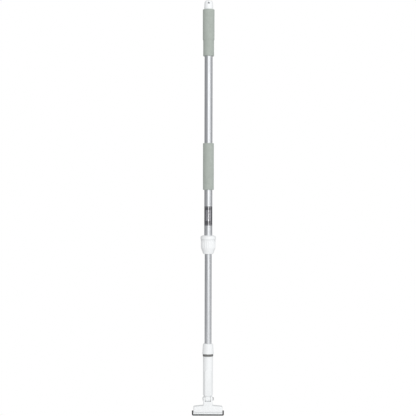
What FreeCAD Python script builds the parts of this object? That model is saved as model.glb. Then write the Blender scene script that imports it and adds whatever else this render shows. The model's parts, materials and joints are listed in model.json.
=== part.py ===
import FreeCAD, Part
import math
import os
import Sketcher

# Window cleaning squeegee on a two-part telescopic pole.
# +Z runs up the pole, +X along the blade, -Y is the front.
# The origin is the middle of the blade's edge. All sizes are in millimetres.

Vector = FreeCAD.Vector

DRIVING_SIZES = [
    # Rubber blade
    ("blade_length", 88.0, "rubber blade along X"),
    ("blade_corner", 4.0, "radius of the blade's lower corners"),
    ("blade_lip", 4.4, "bare rubber below the channel"),
    ("blade_edge_thickness", 2.0, "rubber at its wiping edge"),
    ("blade_web_thickness", 2.6, "rubber in the channel's slot"),
    ("blade_web_height", 4.6, "rubber between the lip and the bead"),
    ("blade_bead_thickness", 5.5, "bead that the channel holds"),
    ("blade_bead_height", 5.0, "height of the bead"),
    ("blade_clearance", 0.2, "room round the rubber in the channel"),
    # Blade channel
    ("channel_length", 80.0, "channel along X"),
    ("channel_wall", 2.25, "side wall beside the bead"),
    ("channel_roof", 1.8, "wall above the bead"),
    ("channel_edge", 0.6, "radius along the channel's lower edges"),
    ("tenon_length", 62.0, "tongue on the channel's roof along X"),
    ("tenon_thickness", 5.0, "tongue on the channel's roof along Y"),
    ("tenon_height", 5.0, "height of that tongue"),
    ("channel_clearance", 0.1, "room round the channel in the head"),
    # Head
    ("head_length", 80.0, "hood along X"),
    ("head_depth", 20.0, "hood along Y"),
    ("hood_overlap", 4.0, "how far the hood comes down over the channel"),
    ("hood_end_height", 14.0, "height of the hood at its ends"),
    ("hood_rise", 2.5, "how much higher the hood is at the fork"),
    ("hood_level", 2.0, "level stretch of the hood beside the fork"),
    ("hood_corner", 4.0, "radius of the hood's upright corners"),
    ("hood_edge", 2.5, "radius along the hood's top edges"),
    ("pivot_height", 46.0, "pivot above the blade's edge"),
    ("ear_radius", 9.8, "radius of the ears about the pivot"),
    ("ear_thickness", 5.1, "each ear along X"),
    ("cradle_gap", 0.8, "room below the tongue in the fork"),
    ("cradle_rim_drop", 5.5, "front and back of the fork's floor below the pivot"),
    # Pivot
    ("tongue_width", 14.0, "handle's tongue along X"),
    ("tongue_radius", 8.5, "radius of the tongue about the pivot"),
    ("washer_thickness", 0.8, "friction washer"),
    ("washer_diameter", 14.0, "friction washer"),
    ("side_gap", 0.1, "room beside each washer"),
    ("sleeve_diameter", 6.0, "barrel of the sleeve nut"),
    ("pivot_clearance", 0.2, "on the sleeve nut's diameter"),
    ("bolt_diameter", 4.0, "shank of the pivot bolt"),
    ("pivot_head_diameter", 9.0, "heads of the bolt and the sleeve nut"),
    ("bolt_head_height", 3.2, "head of the pivot bolt"),
    ("sleeve_head_height", 1.5, "head of the sleeve nut"),
    ("bolt_tip_gap", 3.0, "bolt's tip to the sleeve nut's floor"),
    ("hex_socket", 2.5, "across the flats of the bolt's socket"),
    ("hex_depth", 2.2, "depth of the bolt's socket"),
    ("head_edge", 0.5, "rounding on the metal heads"),
    # Head screws
    ("screw_spacing", 50.0, "between the two head screws"),
    ("screw_diameter", 3.0, "shank of a head screw"),
    ("screw_head_diameter", 5.6, "head of a head screw"),
    ("screw_head_height", 2.2, "head of a head screw"),
    ("screw_recess", 2.6, "how deep the screw heads are sunk"),
    ("screw_length", 13.0, "shank of a head screw"),
    ("screw_clearance", 0.2, "on the screw's diameter in the tongue"),
    ("screw_slot", 0.8, "width of the cross in a screw's head"),
    ("screw_cross", 3.6, "length of the cross in a screw's head"),
    ("screw_cross_depth", 1.1, "depth of the cross in a screw's head"),
    # Handle
    ("handle_shoulder", 1.5, "handle's body outside its neck"),
    ("handle_length", 107.3, "handle's body along Z"),
    ("handle_floor", 13.5, "solid plastic below the handle's bore"),
    ("handle_bore", 18.0, "bore for the spigot"),
    ("handle_edge", 1.2, "rounding on the handle's ends"),
    ("ear_gap", 0.7, "handle's body above the ears"),
    ("panel_width", 15.4, "raised panel on the front and the back"),
    ("panel_rise", 0.4, "panel proud of the round body"),
    ("panel_depth", 7.3, "how far a panel's sloping sides go in"),
    ("panel_flare", 3.9, "how much further out the sides are there"),
    ("panel_length", 72.0, "panels along Z"),
    ("panel_edge", 1.5, "rounding round a panel's face"),
    ("neck_wall", 3.0, "threaded neck of the handle"),
    ("neck_length", 22.2, "threaded neck of the handle"),
    # Seal and coupling nut
    ("seal_overhang", 1.0, "rubber ring outside the handle"),
    ("seal_height", 6.4, "rubber ring under the coupling nut"),
    ("seal_groove", 0.7, "depth of the ring's two grooves"),
    ("seal_clearance", 0.05, "ring to the neck"),
    ("nut_lower_wall", 3.6, "coupling nut at its lower end"),
    ("nut_upper_wall", 1.6, "how far the coupling nut's upper end is outside its thread"),
    ("nut_height", 28.6, "coupling nut along Z"),
    ("nut_shoulder_edge", 4.0, "rounding of the coupling nut's upper rim"),
    ("thread_clearance", 0.2, "between a nut and its thread"),
    ("seat_gap", 0.1, "between a nut and the face it pulls on"),
    # Lower pole
    ("lower_diameter", 19.0, "lower tube"),
    ("lower_length", 620.0, "lower tube"),
    ("tube_wall", 0.8, "wall of both tubes"),
    ("plug_clearance", 0.05, "plug to the inside of a tube"),
    ("spigot_flange", 3.0, "spigot's flange along Z"),
    ("spigot_insertion", 24.0, "spigot in the handle"),
    ("spigot_plug", 26.0, "spigot in the tube"),
    ("spigot_bore", 10.0, "bore through the spigot"),
    ("spigot_clearance", 0.1, "spigot to the handle's bore"),
    ("key_width", 3.0, "keys that stop the handle turning"),
    ("key_height", 1.0, "keys that stop the handle turning"),
    ("pin_diameter", 3.0, "rolled spring pins"),
    ("pin_wall", 0.5, "rolled spring pins"),
    ("pin_slit", 0.6, "rolled spring pins"),
    ("pin_recess", 0.2, "each pin's end below the surface round it"),
    ("pin_offset", 4.5, "spigot's pin above the tube's end"),
    # Guide at the top of the lower tube
    ("guide_plug_length", 20.0, "guide plug in the tube"),
    ("guide_flange", 2.0, "each flange of the guide plug"),
    ("guide_groove", 8.0, "groove between the flanges"),
    ("guide_step", 1.5, "depth of that groove"),
    ("guide_vent", 6.0, "hole through the guide plug"),
    ("guide_play", 0.2, "guide ring to the groove along Z"),
    ("guide_running", 0.1, "guide ring to the upper tube"),
    ("guide_slit", 1.5, "slit in the guide ring"),
    # Twist lock
    ("exposed_length", 245.9, "lower tube seen between the two nuts"),
    ("lock_nut_height", 39.0, "lock nut along Z"),
    ("lock_nut_wall", 3.0, "lock nut outside the thread"),
    ("lock_nut_nose", 4.0, "lock nut outside the lower tube at its lower end"),
    ("lock_nut_taper", 17.3, "tapered part of the lock nut along Z"),
    ("lock_nut_floor", 11.3, "lock nut below the collet"),
    ("lock_nut_edge", 1.0, "rounding on the lock nut"),
    ("flute_count", 20, "grip flutes round the lock nut"),
    ("flute_diameter", 3.4, "round cutter of the flutes"),
    ("flute_depth", 0.6, "depth of the flutes"),
    ("lock_gap", 0.3, "lock nut to the rim"),
    ("rim_reach", 4.0, "rim outside the threaded sleeve"),
    ("rim_height", 11.7, "rim of the lock body"),
    ("rim_edge", 2.0, "rounding on the rim"),
    ("thread_wall", 5.95, "threaded sleeve outside the upper tube's socket"),
    ("thread_length", 22.0, "threaded sleeve of the lock body"),
    ("tube_insertion", 25.7, "upper tube in the lock body"),
    ("socket_clearance", 0.05, "plastic sleeve to the upper tube"),
    ("seat_throat", 0.5, "conical seat's narrow end outside the lower tube"),
    ("seat_flare", 3.0, "how much further out the wide end is"),
    ("collet_flange", 0.5, "flange of the collet outside the wide end"),
    ("collet_flange_height", 3.0, "flange of the collet"),
    ("collet_wedge_gap", 0.2, "collet's cone to its seat"),
    ("collet_tip_gap", 0.8, "collet's tip to the seat's end"),
    ("collet_clearance", 0.05, "collet to the lower tube"),
    ("collet_slit", 1.2, "slits in the collet"),
    ("collet_slit_count", 3, "slits right across the collet"),
    ("passage_clearance", 0.3, "lock nut to the lower tube"),
    # Upper pole
    ("upper_diameter", 22.0, "upper tube"),
    ("upper_length", 642.0, "upper tube"),
    ("bush_length", 80.0, "guide bush in the upper tube"),
    ("bush_flange", 1.5, "flange below the tube's end"),
    ("bush_clearance", 0.1, "bush to the lower tube"),
    ("bush_flange_gap", 0.2, "bush's flange to the lock body"),
    ("label_offset", 27.3, "label above the lock's rim"),
    ("label_height", 52.3, "label along Z"),
    ("label_thickness", 0.15, "printed film"),
    ("foam_thickness", 3.9, "wall of both foam grips"),
    ("foam_edge", 1.5, "rounding on the grips' ends"),
    ("middle_grip_offset", 125.3, "middle grip above the lock's rim"),
    ("middle_grip_length", 128.0, "middle grip"),
    ("top_grip_length", 127.7, "top grip"),
    # Hanging cap
    ("cap_skirt_wall", 1.05, "sleeve of the cap over the tube"),
    ("cap_skirt_length", 83.7, "sleeve of the cap over the tube"),
    ("cap_floor_gap", 1.0, "tube's end to the cap's floor"),
    ("cap_floor", 3.3, "cap's floor to its shoulder"),
    ("cap_step", 0.4, "cap's shoulder outside its skirt"),
    ("cap_draft", 1.25, "how much the cap narrows to its top"),
    ("cap_height", 24.7, "cap above its shoulder"),
    ("cap_dome", 6.0, "rounding of the cap's top"),
    ("cap_hole", 5.5, "hanging hole"),
    ("cap_hole_drop", 8.0, "hanging hole below the cap's top"),
    ("cap_pin_drop", 41.3, "cap's pin below its shoulder"),
]


class Size:
    """A length that carries its number and the spreadsheet formula behind it."""

    def __init__(self, number, formula):
        self.number = number
        self.formula = formula

    def joined(self, sign, other, number):
        return Size(number, "(%s %s %s)" % (self.formula, sign, other.formula))

    def __add__(self, other):
        return self.joined("+", other, self.number + other.number)

    def __sub__(self, other):
        return self.joined("-", other, self.number - other.number)

    def times(self, factor):
        return Size(self.number * factor, "(%s * %g)" % (self.formula, factor))

    def squared(self):
        return Size(self.number ** 2, "(%s * %s)" % (self.formula, self.formula))

    def share(self, part, whole):
        """This length times one length over another."""
        formula = "(%s * %s / %s)" % (self.formula, part.formula, whole.formula)
        return Size(self.number * part.number / whole.number, formula)

    def root(self):
        return Size(math.sqrt(self.number), "sqrt(%s)" % self.formula)

    def half(self):
        return self.times(0.5)

    def minus(self):
        return self.times(-1)


class Sheet:
    """Holds each driving size as an attribute with its own name."""


DOC = FreeCAD.newDocument("window_squeegee")
CELLS = DOC.addObject("Spreadsheet::Sheet", "sizes")
sizes = Sheet()
for row, (name, value, meaning) in enumerate(DRIVING_SIZES, start=1):
    CELLS.set("A%d" % row, name)
    CELLS.set("B%d" % row, str(value))
    CELLS.set("C%d" % row, meaning)
    CELLS.setAlias("B%d" % row, name)
    setattr(sizes, name, Size(float(value), "sizes.%s" % name))
DOC.recompute()

ZERO = Size(0.0, "0")
OVERRUN = Size(1.0, "1")
SAME_PLACE = 0.001
SEAL_BANDS = 5

# Heights above the blade's edge, from the bottom up.
channel_bottom = sizes.blade_lip
bead_bottom = channel_bottom + sizes.blade_web_height
blade_top = bead_bottom + sizes.blade_bead_height
channel_top = blade_top + sizes.blade_clearance + sizes.channel_roof
tenon_top = channel_top + sizes.tenon_height
hood_bottom = channel_top - sizes.hood_overlap
hood_end_top = hood_bottom + sizes.hood_end_height
hood_top = hood_end_top + sizes.hood_rise
screw_height = channel_top + sizes.tenon_height.half()
cradle_rim = sizes.pivot_height - sizes.cradle_rim_drop
handle_bottom = sizes.pivot_height + sizes.ear_radius + sizes.ear_gap
handle_top = handle_bottom + sizes.handle_length
bore_floor = handle_bottom + sizes.handle_floor
neck_top = handle_top + sizes.neck_length
seal_top = handle_top + sizes.seal_height
coupling_top = seal_top + sizes.nut_height
tube_bottom = neck_top + sizes.spigot_flange
tube_top = tube_bottom + sizes.lower_length
lock_bottom = coupling_top + sizes.exposed_length
lock_top = lock_bottom + sizes.lock_nut_height
collet_bottom = lock_bottom + sizes.lock_nut_floor
collet_shoulder = collet_bottom + sizes.collet_flange_height
rim_bottom = lock_top + sizes.lock_gap
rim_top = rim_bottom + sizes.rim_height
sleeve_bottom = rim_bottom - sizes.thread_length
upper_bottom = rim_top - sizes.tube_insertion
bush_bottom = upper_bottom - sizes.bush_flange
upper_top = upper_bottom + sizes.upper_length
cap_floor = upper_top + sizes.cap_floor_gap
cap_shoulder = cap_floor + sizes.cap_floor
cap_top = cap_shoulder + sizes.cap_height
skirt_bottom = cap_shoulder - sizes.cap_skirt_length

# Radii and half widths that more than one piece uses.
lower_radius = sizes.lower_diameter.half()
lower_bore = lower_radius - sizes.tube_wall
upper_radius = sizes.upper_diameter.half()
upper_bore = upper_radius - sizes.tube_wall
plug_radius = lower_bore - sizes.plug_clearance
sleeve_radius = sizes.sleeve_diameter.half()
pivot_hole = sizes.sleeve_diameter + sizes.pivot_clearance
fork_gap = sizes.tongue_width + (sizes.washer_thickness + sizes.side_gap).times(2)
fork_width = fork_gap + sizes.ear_thickness.times(2)
bore_radius = sizes.handle_bore.half()
neck_radius = bore_radius + sizes.neck_wall
handle_radius = neck_radius + sizes.handle_shoulder
nut_thread = neck_radius + sizes.thread_clearance
skirt_bore = upper_radius + sizes.socket_clearance
skirt_radius = skirt_bore + sizes.cap_skirt_wall
throat_radius = lower_radius + sizes.seat_throat
mouth_radius = throat_radius + sizes.seat_flare
flange_radius = mouth_radius + sizes.collet_flange
thread_radius = skirt_bore + sizes.thread_wall
channel_depth = sizes.blade_bead_thickness + (sizes.blade_clearance + sizes.channel_wall).times(2)
pin_height = tube_bottom + sizes.pin_offset
cap_pin_height = cap_shoulder - sizes.cap_pin_drop

SUB_PARTS = []


# ---------------------------------------------------------------- drawing tools

def new_body(label):
    """Starts a sub-part that is one PartDesign body."""
    body = DOC.addObject("PartDesign::Body", label)
    SUB_PARTS.append(body)
    return body


def origin_feature(body, role):
    for feature in body.Origin.OriginFeatures:
        if feature.Role == role:
            return feature
    raise ValueError("no " + role)


def new_sketch(body, name, role, offset=ZERO):
    """Starts a sketch on one of the body's origin planes, moved along its normal."""
    sketch = body.newObject("Sketcher::SketchObject", name)
    sketch.AttachmentSupport = [(origin_feature(body, role), "")]
    sketch.MapMode = "FlatFace"
    sketch.AttachmentOffset = FreeCAD.Placement(Vector(0, 0, offset.number), FreeCAD.Rotation())
    sketch.setExpression("AttachmentOffset.Base.z", offset.formula)
    return sketch


def fix(sketch, kind, arguments, size):
    """Adds one dimension to a sketch and binds it to its formula."""
    index = sketch.addConstraint(Sketcher.Constraint(kind, *arguments, size.number))
    sketch.setExpression("Constraints[%d]" % index, size.formula)


def place(sketch, geometry, point, across, up):
    fix(sketch, "DistanceX", (geometry, point), across)
    fix(sketch, "DistanceY", (geometry, point), up)


def join_up(sketch, first, count):
    """Joins a run of edges end to end into a closed outline."""
    for step in range(count):
        following = first + (step + 1) % count
        sketch.addConstraint(Sketcher.Constraint("Coincident", first + step, 2, following, 1))


def draw_polygon(sketch, corners):
    """Draws a closed outline of straight runs through (across, up) corners."""
    first = sketch.GeometryCount
    count = len(corners)
    for step, (across, up) in enumerate(corners):
        next_across, next_up = corners[(step + 1) % count]
        start = Vector(across.number, up.number, 0)
        end = Vector(next_across.number, next_up.number, 0)
        sketch.addGeometry(Part.LineSegment(start, end), False)
    join_up(sketch, first, count)
    for step, (across, up) in enumerate(corners):
        place(sketch, first + step, 1, across, up)


def draw_box(sketch, left, right, low, high):
    draw_polygon(sketch, [(left, low), (right, low), (right, high), (left, high)])


def draw_circle(sketch, across, up, diameter):
    centre = Vector(across.number, up.number, 0)
    circle = Part.Circle(centre, Vector(0, 0, 1), diameter.number / 2)
    index = sketch.addGeometry(circle, False)
    place(sketch, index, 3, across, up)
    fix(sketch, "Diameter", (index,), diameter)


def draw_arched(sketch, half_width, base, centre):
    """Draws an outline with a flat base and a half round end about a centre."""
    side = half_width.number
    rises = centre.number > base.number
    low_left = Vector(-side, base.number, 0)
    low_right = Vector(side, base.number, 0)
    top_right = Vector(side, centre.number, 0)
    top_left = Vector(-side, centre.number, 0)
    round_end = Part.Circle(Vector(0, centre.number, 0), Vector(0, 0, 1), side)
    if rises:
        arc = Part.ArcOfCircle(round_end, 0, math.pi)
    else:
        arc = Part.ArcOfCircle(round_end, math.pi, 2 * math.pi)
    base_line = sketch.addGeometry(Part.LineSegment(low_left, low_right), False)
    right_line = sketch.addGeometry(Part.LineSegment(low_right, top_right), False)
    left_line = sketch.addGeometry(Part.LineSegment(top_left, low_left), False)
    end_arc = sketch.addGeometry(arc, False)
    arc_right, arc_left = (1, 2) if rises else (2, 1)
    corners = [
        (base_line, 2, right_line, 1),
        (left_line, 2, base_line, 1),
        (right_line, 2, end_arc, arc_right),
        (left_line, 1, end_arc, arc_left),
    ]
    for corner in corners:
        sketch.addConstraint(Sketcher.Constraint("Coincident", *corner))
    place(sketch, base_line, 1, half_width.minus(), base)
    place(sketch, base_line, 2, half_width, base)
    place(sketch, right_line, 2, half_width, centre)
    place(sketch, left_line, 1, half_width.minus(), centre)
    fix(sketch, "DistanceY", (end_arc, 3), centre)


# -------------------------------------------------------------- feature tools

def volume_now(body):
    DOC.recompute()
    return body.Shape.Volume


def revolve(body, sketch):
    feature = body.newObject("PartDesign::Revolution", "turned")
    feature.Profile = sketch
    feature.ReferenceAxis = (sketch, ["V_Axis"])
    feature.Angle = 360
    DOC.recompute()


def turned_body(label, corners):
    """A sub-part turned about Z from an outline of (radius, height) corners."""
    body = new_body(label)
    sketch = new_sketch(body, label + "_outline", "XZ_Plane")
    draw_polygon(sketch, corners)
    revolve(body, sketch)
    return body


def ring_corners(inner, outer, low, high):
    return [(inner, low), (outer, low), (outer, high), (inner, high)]


def pad_both_ways(body, sketch, length):
    before = volume_now(body) if body.Tip else 0.0
    feature = body.newObject("PartDesign::Pad", "padded")
    feature.Profile = sketch
    feature.SideType = "Symmetric"
    feature.Length = length.number
    feature.setExpression("Length", length.formula)
    if volume_now(body) <= before:
        raise ValueError("a pad added nothing to " + body.Label)
    return feature


def loft_between(body, first, second):
    """Adds the straight-sided solid from one outline to another."""
    before = volume_now(body)
    feature = body.newObject("PartDesign::AdditiveLoft", "lofted")
    feature.Profile = first
    feature.Sections = [second]
    feature.Ruled = True
    if volume_now(body) <= before:
        raise ValueError("a loft added nothing to " + body.Label)
    return feature


def pad_up(body, sketch, length):
    before = volume_now(body)
    feature = body.newObject("PartDesign::Pad", "padded")
    feature.Profile = sketch
    feature.Length = length.number
    feature.setExpression("Length", length.formula)
    if volume_now(body) <= before:
        raise ValueError("a pad added nothing to " + body.Label)
    return feature


def pocket(body, sketch, length=None, both_ways=False, along_normal=False):
    """Cuts a sketch out of the body, all the way through when no length is given."""
    before = volume_now(body)
    feature = body.newObject("PartDesign::Pocket", "cut")
    feature.Profile = sketch
    if both_ways:
        feature.SideType = "Symmetric"
    if length is None:
        feature.Type = "ThroughAll"
    else:
        feature.Length = length.number
        feature.setExpression("Length", length.formula)
    feature.Reversed = along_normal
    if volume_now(body) >= before:
        raise ValueError("a pocket cut nothing from " + body.Label)
    return feature


def repeat_round(body, feature, count_formula, count):
    """Repeats a feature evenly round the Z axis."""
    pattern = body.newObject("PartDesign::PolarPattern", "repeated")
    pattern.Originals = [feature]
    pattern.Axis = (origin_feature(body, "Z_Axis"), [""])
    pattern.Angle = 360
    pattern.Occurrences = count
    pattern.setExpression("Occurrences", count_formula)
    body.Tip = pattern
    DOC.recompute()
    return pattern


def mirror_feature(body, feature, role):
    mirrored = body.newObject("PartDesign::Mirrored", "mirrored")
    mirrored.Originals = [feature]
    mirrored.MirrorPlane = (origin_feature(body, role), [""])
    body.Tip = mirrored
    DOC.recompute()
    return mirrored


def is_near(number, size):
    return abs(number - size.number) < SAME_PLACE


def rims(body, radius, height):
    """Names the round edges about Z with this radius, at this height."""
    names = []
    for index, edge in enumerate(body.Shape.Edges, start=1):
        curve = edge.Curve
        if not isinstance(curve, Part.Circle):
            continue
        if is_near(curve.Radius, radius) and is_near(curve.Center.z, height):
            names.append("Edge%d" % index)
    return names


def edges_where(body, accept):
    """Names the edges whose start and end pass a test."""
    names = []
    for index, edge in enumerate(body.Shape.Edges, start=1):
        ends = [vertex.Point for vertex in edge.Vertexes]
        if len(ends) == 2 and accept(*ends):
            names.append("Edge%d" % index)
    return names


def runs_along(start, end, letter):
    """Whether the two points differ only in this coordinate."""
    others = [other for other in "xyz" if other != letter]
    return all(abs(getattr(start, other) - getattr(end, other)) < SAME_PLACE for other in others)


def round_off(body, names, radius):
    if not names:
        raise ValueError("no edges to round on " + body.Label)
    base = body.Tip
    fillet = body.newObject("PartDesign::Fillet", "rounded")
    fillet.Base = (base, names)
    fillet.Radius = radius.number
    fillet.setExpression("Radius", radius.formula)
    DOC.recompute()


def hole_along_x(body, name, height, diameter):
    sketch = new_sketch(body, name, "YZ_Plane")
    draw_circle(sketch, ZERO, height, diameter)
    pocket(body, sketch, both_ways=True)


def hole_along_y(body, name, across, height, diameter):
    sketch = new_sketch(body, name, "XZ_Plane")
    draw_circle(sketch, across, height, diameter)
    pocket(body, sketch, both_ways=True)


def set_placement(item, rotation, base):
    """Places an object, with its base bound to the three sizes given."""
    item.Placement = FreeCAD.Placement(Vector(*[size.number for size in base]), rotation)
    for letter, size in zip("xyz", base):
        item.setExpression("Placement.Base." + letter, size.formula)


# ------------------------------------------------------------- head and blade

def make_rubber_blade():
    """Rubber strip with a bead along its top and a thin wiping edge."""
    body = new_body("rubber_blade")
    edge = sizes.blade_edge_thickness.half()
    web = sizes.blade_web_thickness.half()
    bead = sizes.blade_bead_thickness.half()
    profile = new_sketch(body, "blade_profile", "YZ_Plane")
    draw_polygon(profile, [
        (edge.minus(), ZERO),
        (edge, ZERO),
        (web, channel_bottom),
        (web, bead_bottom),
        (bead, bead_bottom),
        (bead, blade_top),
        (bead.minus(), blade_top),
        (bead.minus(), bead_bottom),
        (web.minus(), bead_bottom),
        (web.minus(), channel_bottom),
    ])
    pad_both_ways(body, profile, sizes.blade_length)
    corners = edges_where(body, lambda start, end: runs_along(start, end, "y") and is_near(start.z, ZERO))
    round_off(body, corners, sizes.blade_corner)


def make_blade_channel():
    """Slotted strip that the blade's bead slides into, with a tongue on its roof."""
    body = new_body("blade_channel")
    outer = channel_depth.half()
    inner = sizes.blade_bead_thickness.half() + sizes.blade_clearance
    slot = sizes.blade_web_thickness.half() + sizes.blade_clearance
    slot_top = bead_bottom - sizes.blade_clearance
    inner_top = blade_top + sizes.blade_clearance
    profile = new_sketch(body, "channel_profile", "YZ_Plane")
    draw_polygon(profile, [
        (outer.minus(), channel_bottom),
        (slot.minus(), channel_bottom),
        (slot.minus(), slot_top),
        (inner.minus(), slot_top),
        (inner.minus(), inner_top),
        (inner, inner_top),
        (inner, slot_top),
        (slot, slot_top),
        (slot, channel_bottom),
        (outer, channel_bottom),
        (outer, channel_top),
        (outer.minus(), channel_top),
    ])
    pad_both_ways(body, profile, sizes.channel_length)
    lower_edges = edges_where(body, lambda start, end: (
        runs_along(start, end, "x") and is_near(abs(start.y), outer) and is_near(start.z, channel_bottom)))
    round_off(body, lower_edges, sizes.channel_edge)
    tenon = sizes.tenon_thickness.half()
    tongue = new_sketch(body, "channel_tongue", "YZ_Plane")
    draw_box(tongue, tenon.minus(), tenon, channel_top - sizes.channel_roof.half(), tenon_top)
    pad_both_ways(body, tongue, sizes.tenon_length)
    hole = sizes.screw_diameter + sizes.screw_clearance
    apart = sizes.screw_spacing.half()
    hole_along_y(body, "left_screw_hole", apart.minus(), screw_height, hole)
    hole_along_y(body, "right_screw_hole", apart, screw_height, hole)


def make_head_body():
    """T-shaped head: a hood over the channel and a fork for the handle."""
    body = new_body("head_body")
    end = sizes.head_length.half()
    side = fork_width.half() + sizes.hood_level
    hood = new_sketch(body, "hood_outline", "XZ_Plane")
    draw_polygon(hood, [
        (end.minus(), hood_bottom),
        (end, hood_bottom),
        (end, hood_end_top),
        (side, hood_top),
        (side.minus(), hood_top),
        (end.minus(), hood_end_top),
    ])
    pad_both_ways(body, hood, sizes.head_depth)
    upright = edges_where(body, lambda start, end: runs_along(start, end, "z"))
    round_off(body, upright, sizes.hood_corner)
    crown = edges_where(body, lambda start, end: (
        min(start.z, end.z) > hood_end_top.number - SAME_PLACE
        and not (runs_along(start, end, "y") and abs(start.x) < side.number + SAME_PLACE)))
    round_off(body, crown, sizes.hood_edge)

    ears = new_sketch(body, "ear_outline", "YZ_Plane")
    draw_arched(ears, sizes.ear_radius, tenon_top, sizes.pivot_height)
    pad_both_ways(body, ears, fork_width)
    gap = new_sketch(body, "fork_gap", "YZ_Plane")
    reach = sizes.ear_radius + OVERRUN
    cradle_radius = sizes.tongue_radius + sizes.cradle_gap
    draw_polygon(gap, [
        (reach.minus(), cradle_rim),
        (ZERO, sizes.pivot_height - cradle_radius),
        (reach, cradle_rim),
        (reach, sizes.pivot_height + reach),
        (reach.minus(), sizes.pivot_height + reach),
    ])
    pocket(body, gap, fork_gap, both_ways=True)
    cradle = new_sketch(body, "cradle", "YZ_Plane")
    draw_circle(cradle, ZERO, sizes.pivot_height, cradle_radius.times(2))
    pocket(body, cradle, fork_gap, both_ways=True)
    hole_along_x(body, "pivot_hole", sizes.pivot_height, pivot_hole)

    groove = new_sketch(body, "channel_groove", "YZ_Plane")
    groove_side = channel_depth.half() + sizes.channel_clearance
    groove_top = channel_top + sizes.channel_clearance
    draw_box(groove, groove_side.minus(), groove_side, hood_bottom - OVERRUN, groove_top)
    pocket(body, groove, both_ways=True)
    mortise = new_sketch(body, "tongue_slot", "YZ_Plane")
    mortise_side = sizes.tenon_thickness.half() + sizes.channel_clearance
    mortise_top = tenon_top + sizes.channel_clearance
    draw_box(mortise, mortise_side.minus(), mortise_side, hood_bottom - OVERRUN, mortise_top)
    pocket(body, mortise, sizes.tenon_length + sizes.channel_clearance.times(2), both_ways=True)

    # The screws go in from the back. The XZ plane's normal points to the front.
    back = sizes.head_depth.half().minus()
    apart = sizes.screw_spacing.half()
    sunk = sizes.screw_head_diameter + sizes.screw_clearance
    for name, across in (("left", apart.minus()), ("right", apart)):
        recess = new_sketch(body, name + "_screw_recess", "XZ_Plane", back)
        draw_circle(recess, across, screw_height, sunk)
        pocket(body, recess, sizes.screw_recess, along_normal=True)
        hole = new_sketch(body, name + "_screw_hole", "XZ_Plane", back)
        draw_circle(hole, across, screw_height, sizes.screw_diameter)
        pocket(body, hole, sizes.screw_recess + sizes.screw_length, along_normal=True)


def make_head_screws():
    """Two sunk screws that hold the channel's tongue in the head."""
    screw = DOC.addObject("PartDesign::Body", "head_screw")
    outline = new_sketch(screw, "screw_outline", "XZ_Plane")
    shank = sizes.screw_diameter.half()
    head = sizes.screw_head_diameter.half()
    draw_polygon(outline, [
        (ZERO, sizes.screw_length.minus()),
        (shank, sizes.screw_length.minus()),
        (shank, ZERO),
        (head, ZERO),
        (head, sizes.screw_head_height),
        (ZERO, sizes.screw_head_height),
    ])
    revolve(screw, outline)
    arm = sizes.screw_cross.half()
    slot = sizes.screw_slot.half()
    cross = new_sketch(screw, "screw_cross", "XY_Plane", sizes.screw_head_height)
    draw_polygon(cross, [
        (arm.minus(), slot.minus()),
        (slot.minus(), slot.minus()),
        (slot.minus(), arm.minus()),
        (slot, arm.minus()),
        (slot, slot.minus()),
        (arm, slot.minus()),
        (arm, slot),
        (slot, slot),
        (slot, arm),
        (slot.minus(), arm),
        (slot.minus(), slot),
        (arm.minus(), slot),
    ])
    pocket(screw, cross, sizes.screw_cross_depth)
    seat = sizes.head_depth.half() - sizes.screw_recess
    facing_back = FreeCAD.Rotation(Vector(1, 0, 0), -90)
    set_placement(screw, facing_back, (sizes.screw_spacing.half(), seat, screw_height))
    twin = DOC.addObject("Part::Mirroring", "head_screw_twin")
    twin.Source = screw
    twin.Normal = Vector(1, 0, 0)
    pair = DOC.addObject("Part::Compound", "head_screws")
    pair.Links = [screw, twin]
    SUB_PARTS.append(pair)


# ---------------------------------------------------------------------- pivot

def make_pivot_washers():
    """One friction washer on each side of the handle's tongue."""
    inner_face = (sizes.tongue_width + sizes.side_gap).half()
    across = FreeCAD.Rotation(Vector(0, 1, 0), 90)
    base = (inner_face, ZERO, sizes.pivot_height)
    disc = DOC.addObject("Part::Cylinder", "washer_disc")
    disc.setExpression("Radius", sizes.washer_diameter.half().formula)
    disc.setExpression("Height", sizes.washer_thickness.formula)
    set_placement(disc, across, base)
    hole = DOC.addObject("Part::Cylinder", "washer_hole")
    hole.setExpression("Radius", pivot_hole.half().formula)
    hole.setExpression("Height", sizes.washer_thickness.formula)
    set_placement(hole, across, base)
    washer = DOC.addObject("Part::Cut", "washer")
    washer.Base = disc
    washer.Tool = hole
    twin = DOC.addObject("Part::Mirroring", "washer_twin")
    twin.Source = washer
    twin.Normal = Vector(1, 0, 0)
    pair = DOC.addObject("Part::Compound", "pivot_washers")
    pair.Links = [washer, twin]
    SUB_PARTS.append(pair)


def make_pivot_sleeve_nut():
    """Barrel nut through the fork from the left, which the bolt screws into."""
    body = turned_body("pivot_sleeve_nut", [
        (ZERO, sizes.sleeve_head_height.minus()),
        (sizes.pivot_head_diameter.half(), sizes.sleeve_head_height.minus()),
        (sizes.pivot_head_diameter.half(), ZERO),
        (sleeve_radius, ZERO),
        (sleeve_radius, fork_width - sizes.side_gap),
        (sizes.bolt_diameter.half(), fork_width - sizes.side_gap),
        (sizes.bolt_diameter.half(), sizes.sleeve_head_height),
        (ZERO, sizes.sleeve_head_height),
    ])
    head_rim = rims(body, sizes.pivot_head_diameter.half(), sizes.sleeve_head_height.minus())
    round_off(body, head_rim, sizes.head_edge)
    to_the_right = FreeCAD.Rotation(Vector(0, 1, 0), 90)
    set_placement(body, to_the_right, (fork_width.half().minus(), ZERO, sizes.pivot_height))


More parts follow.
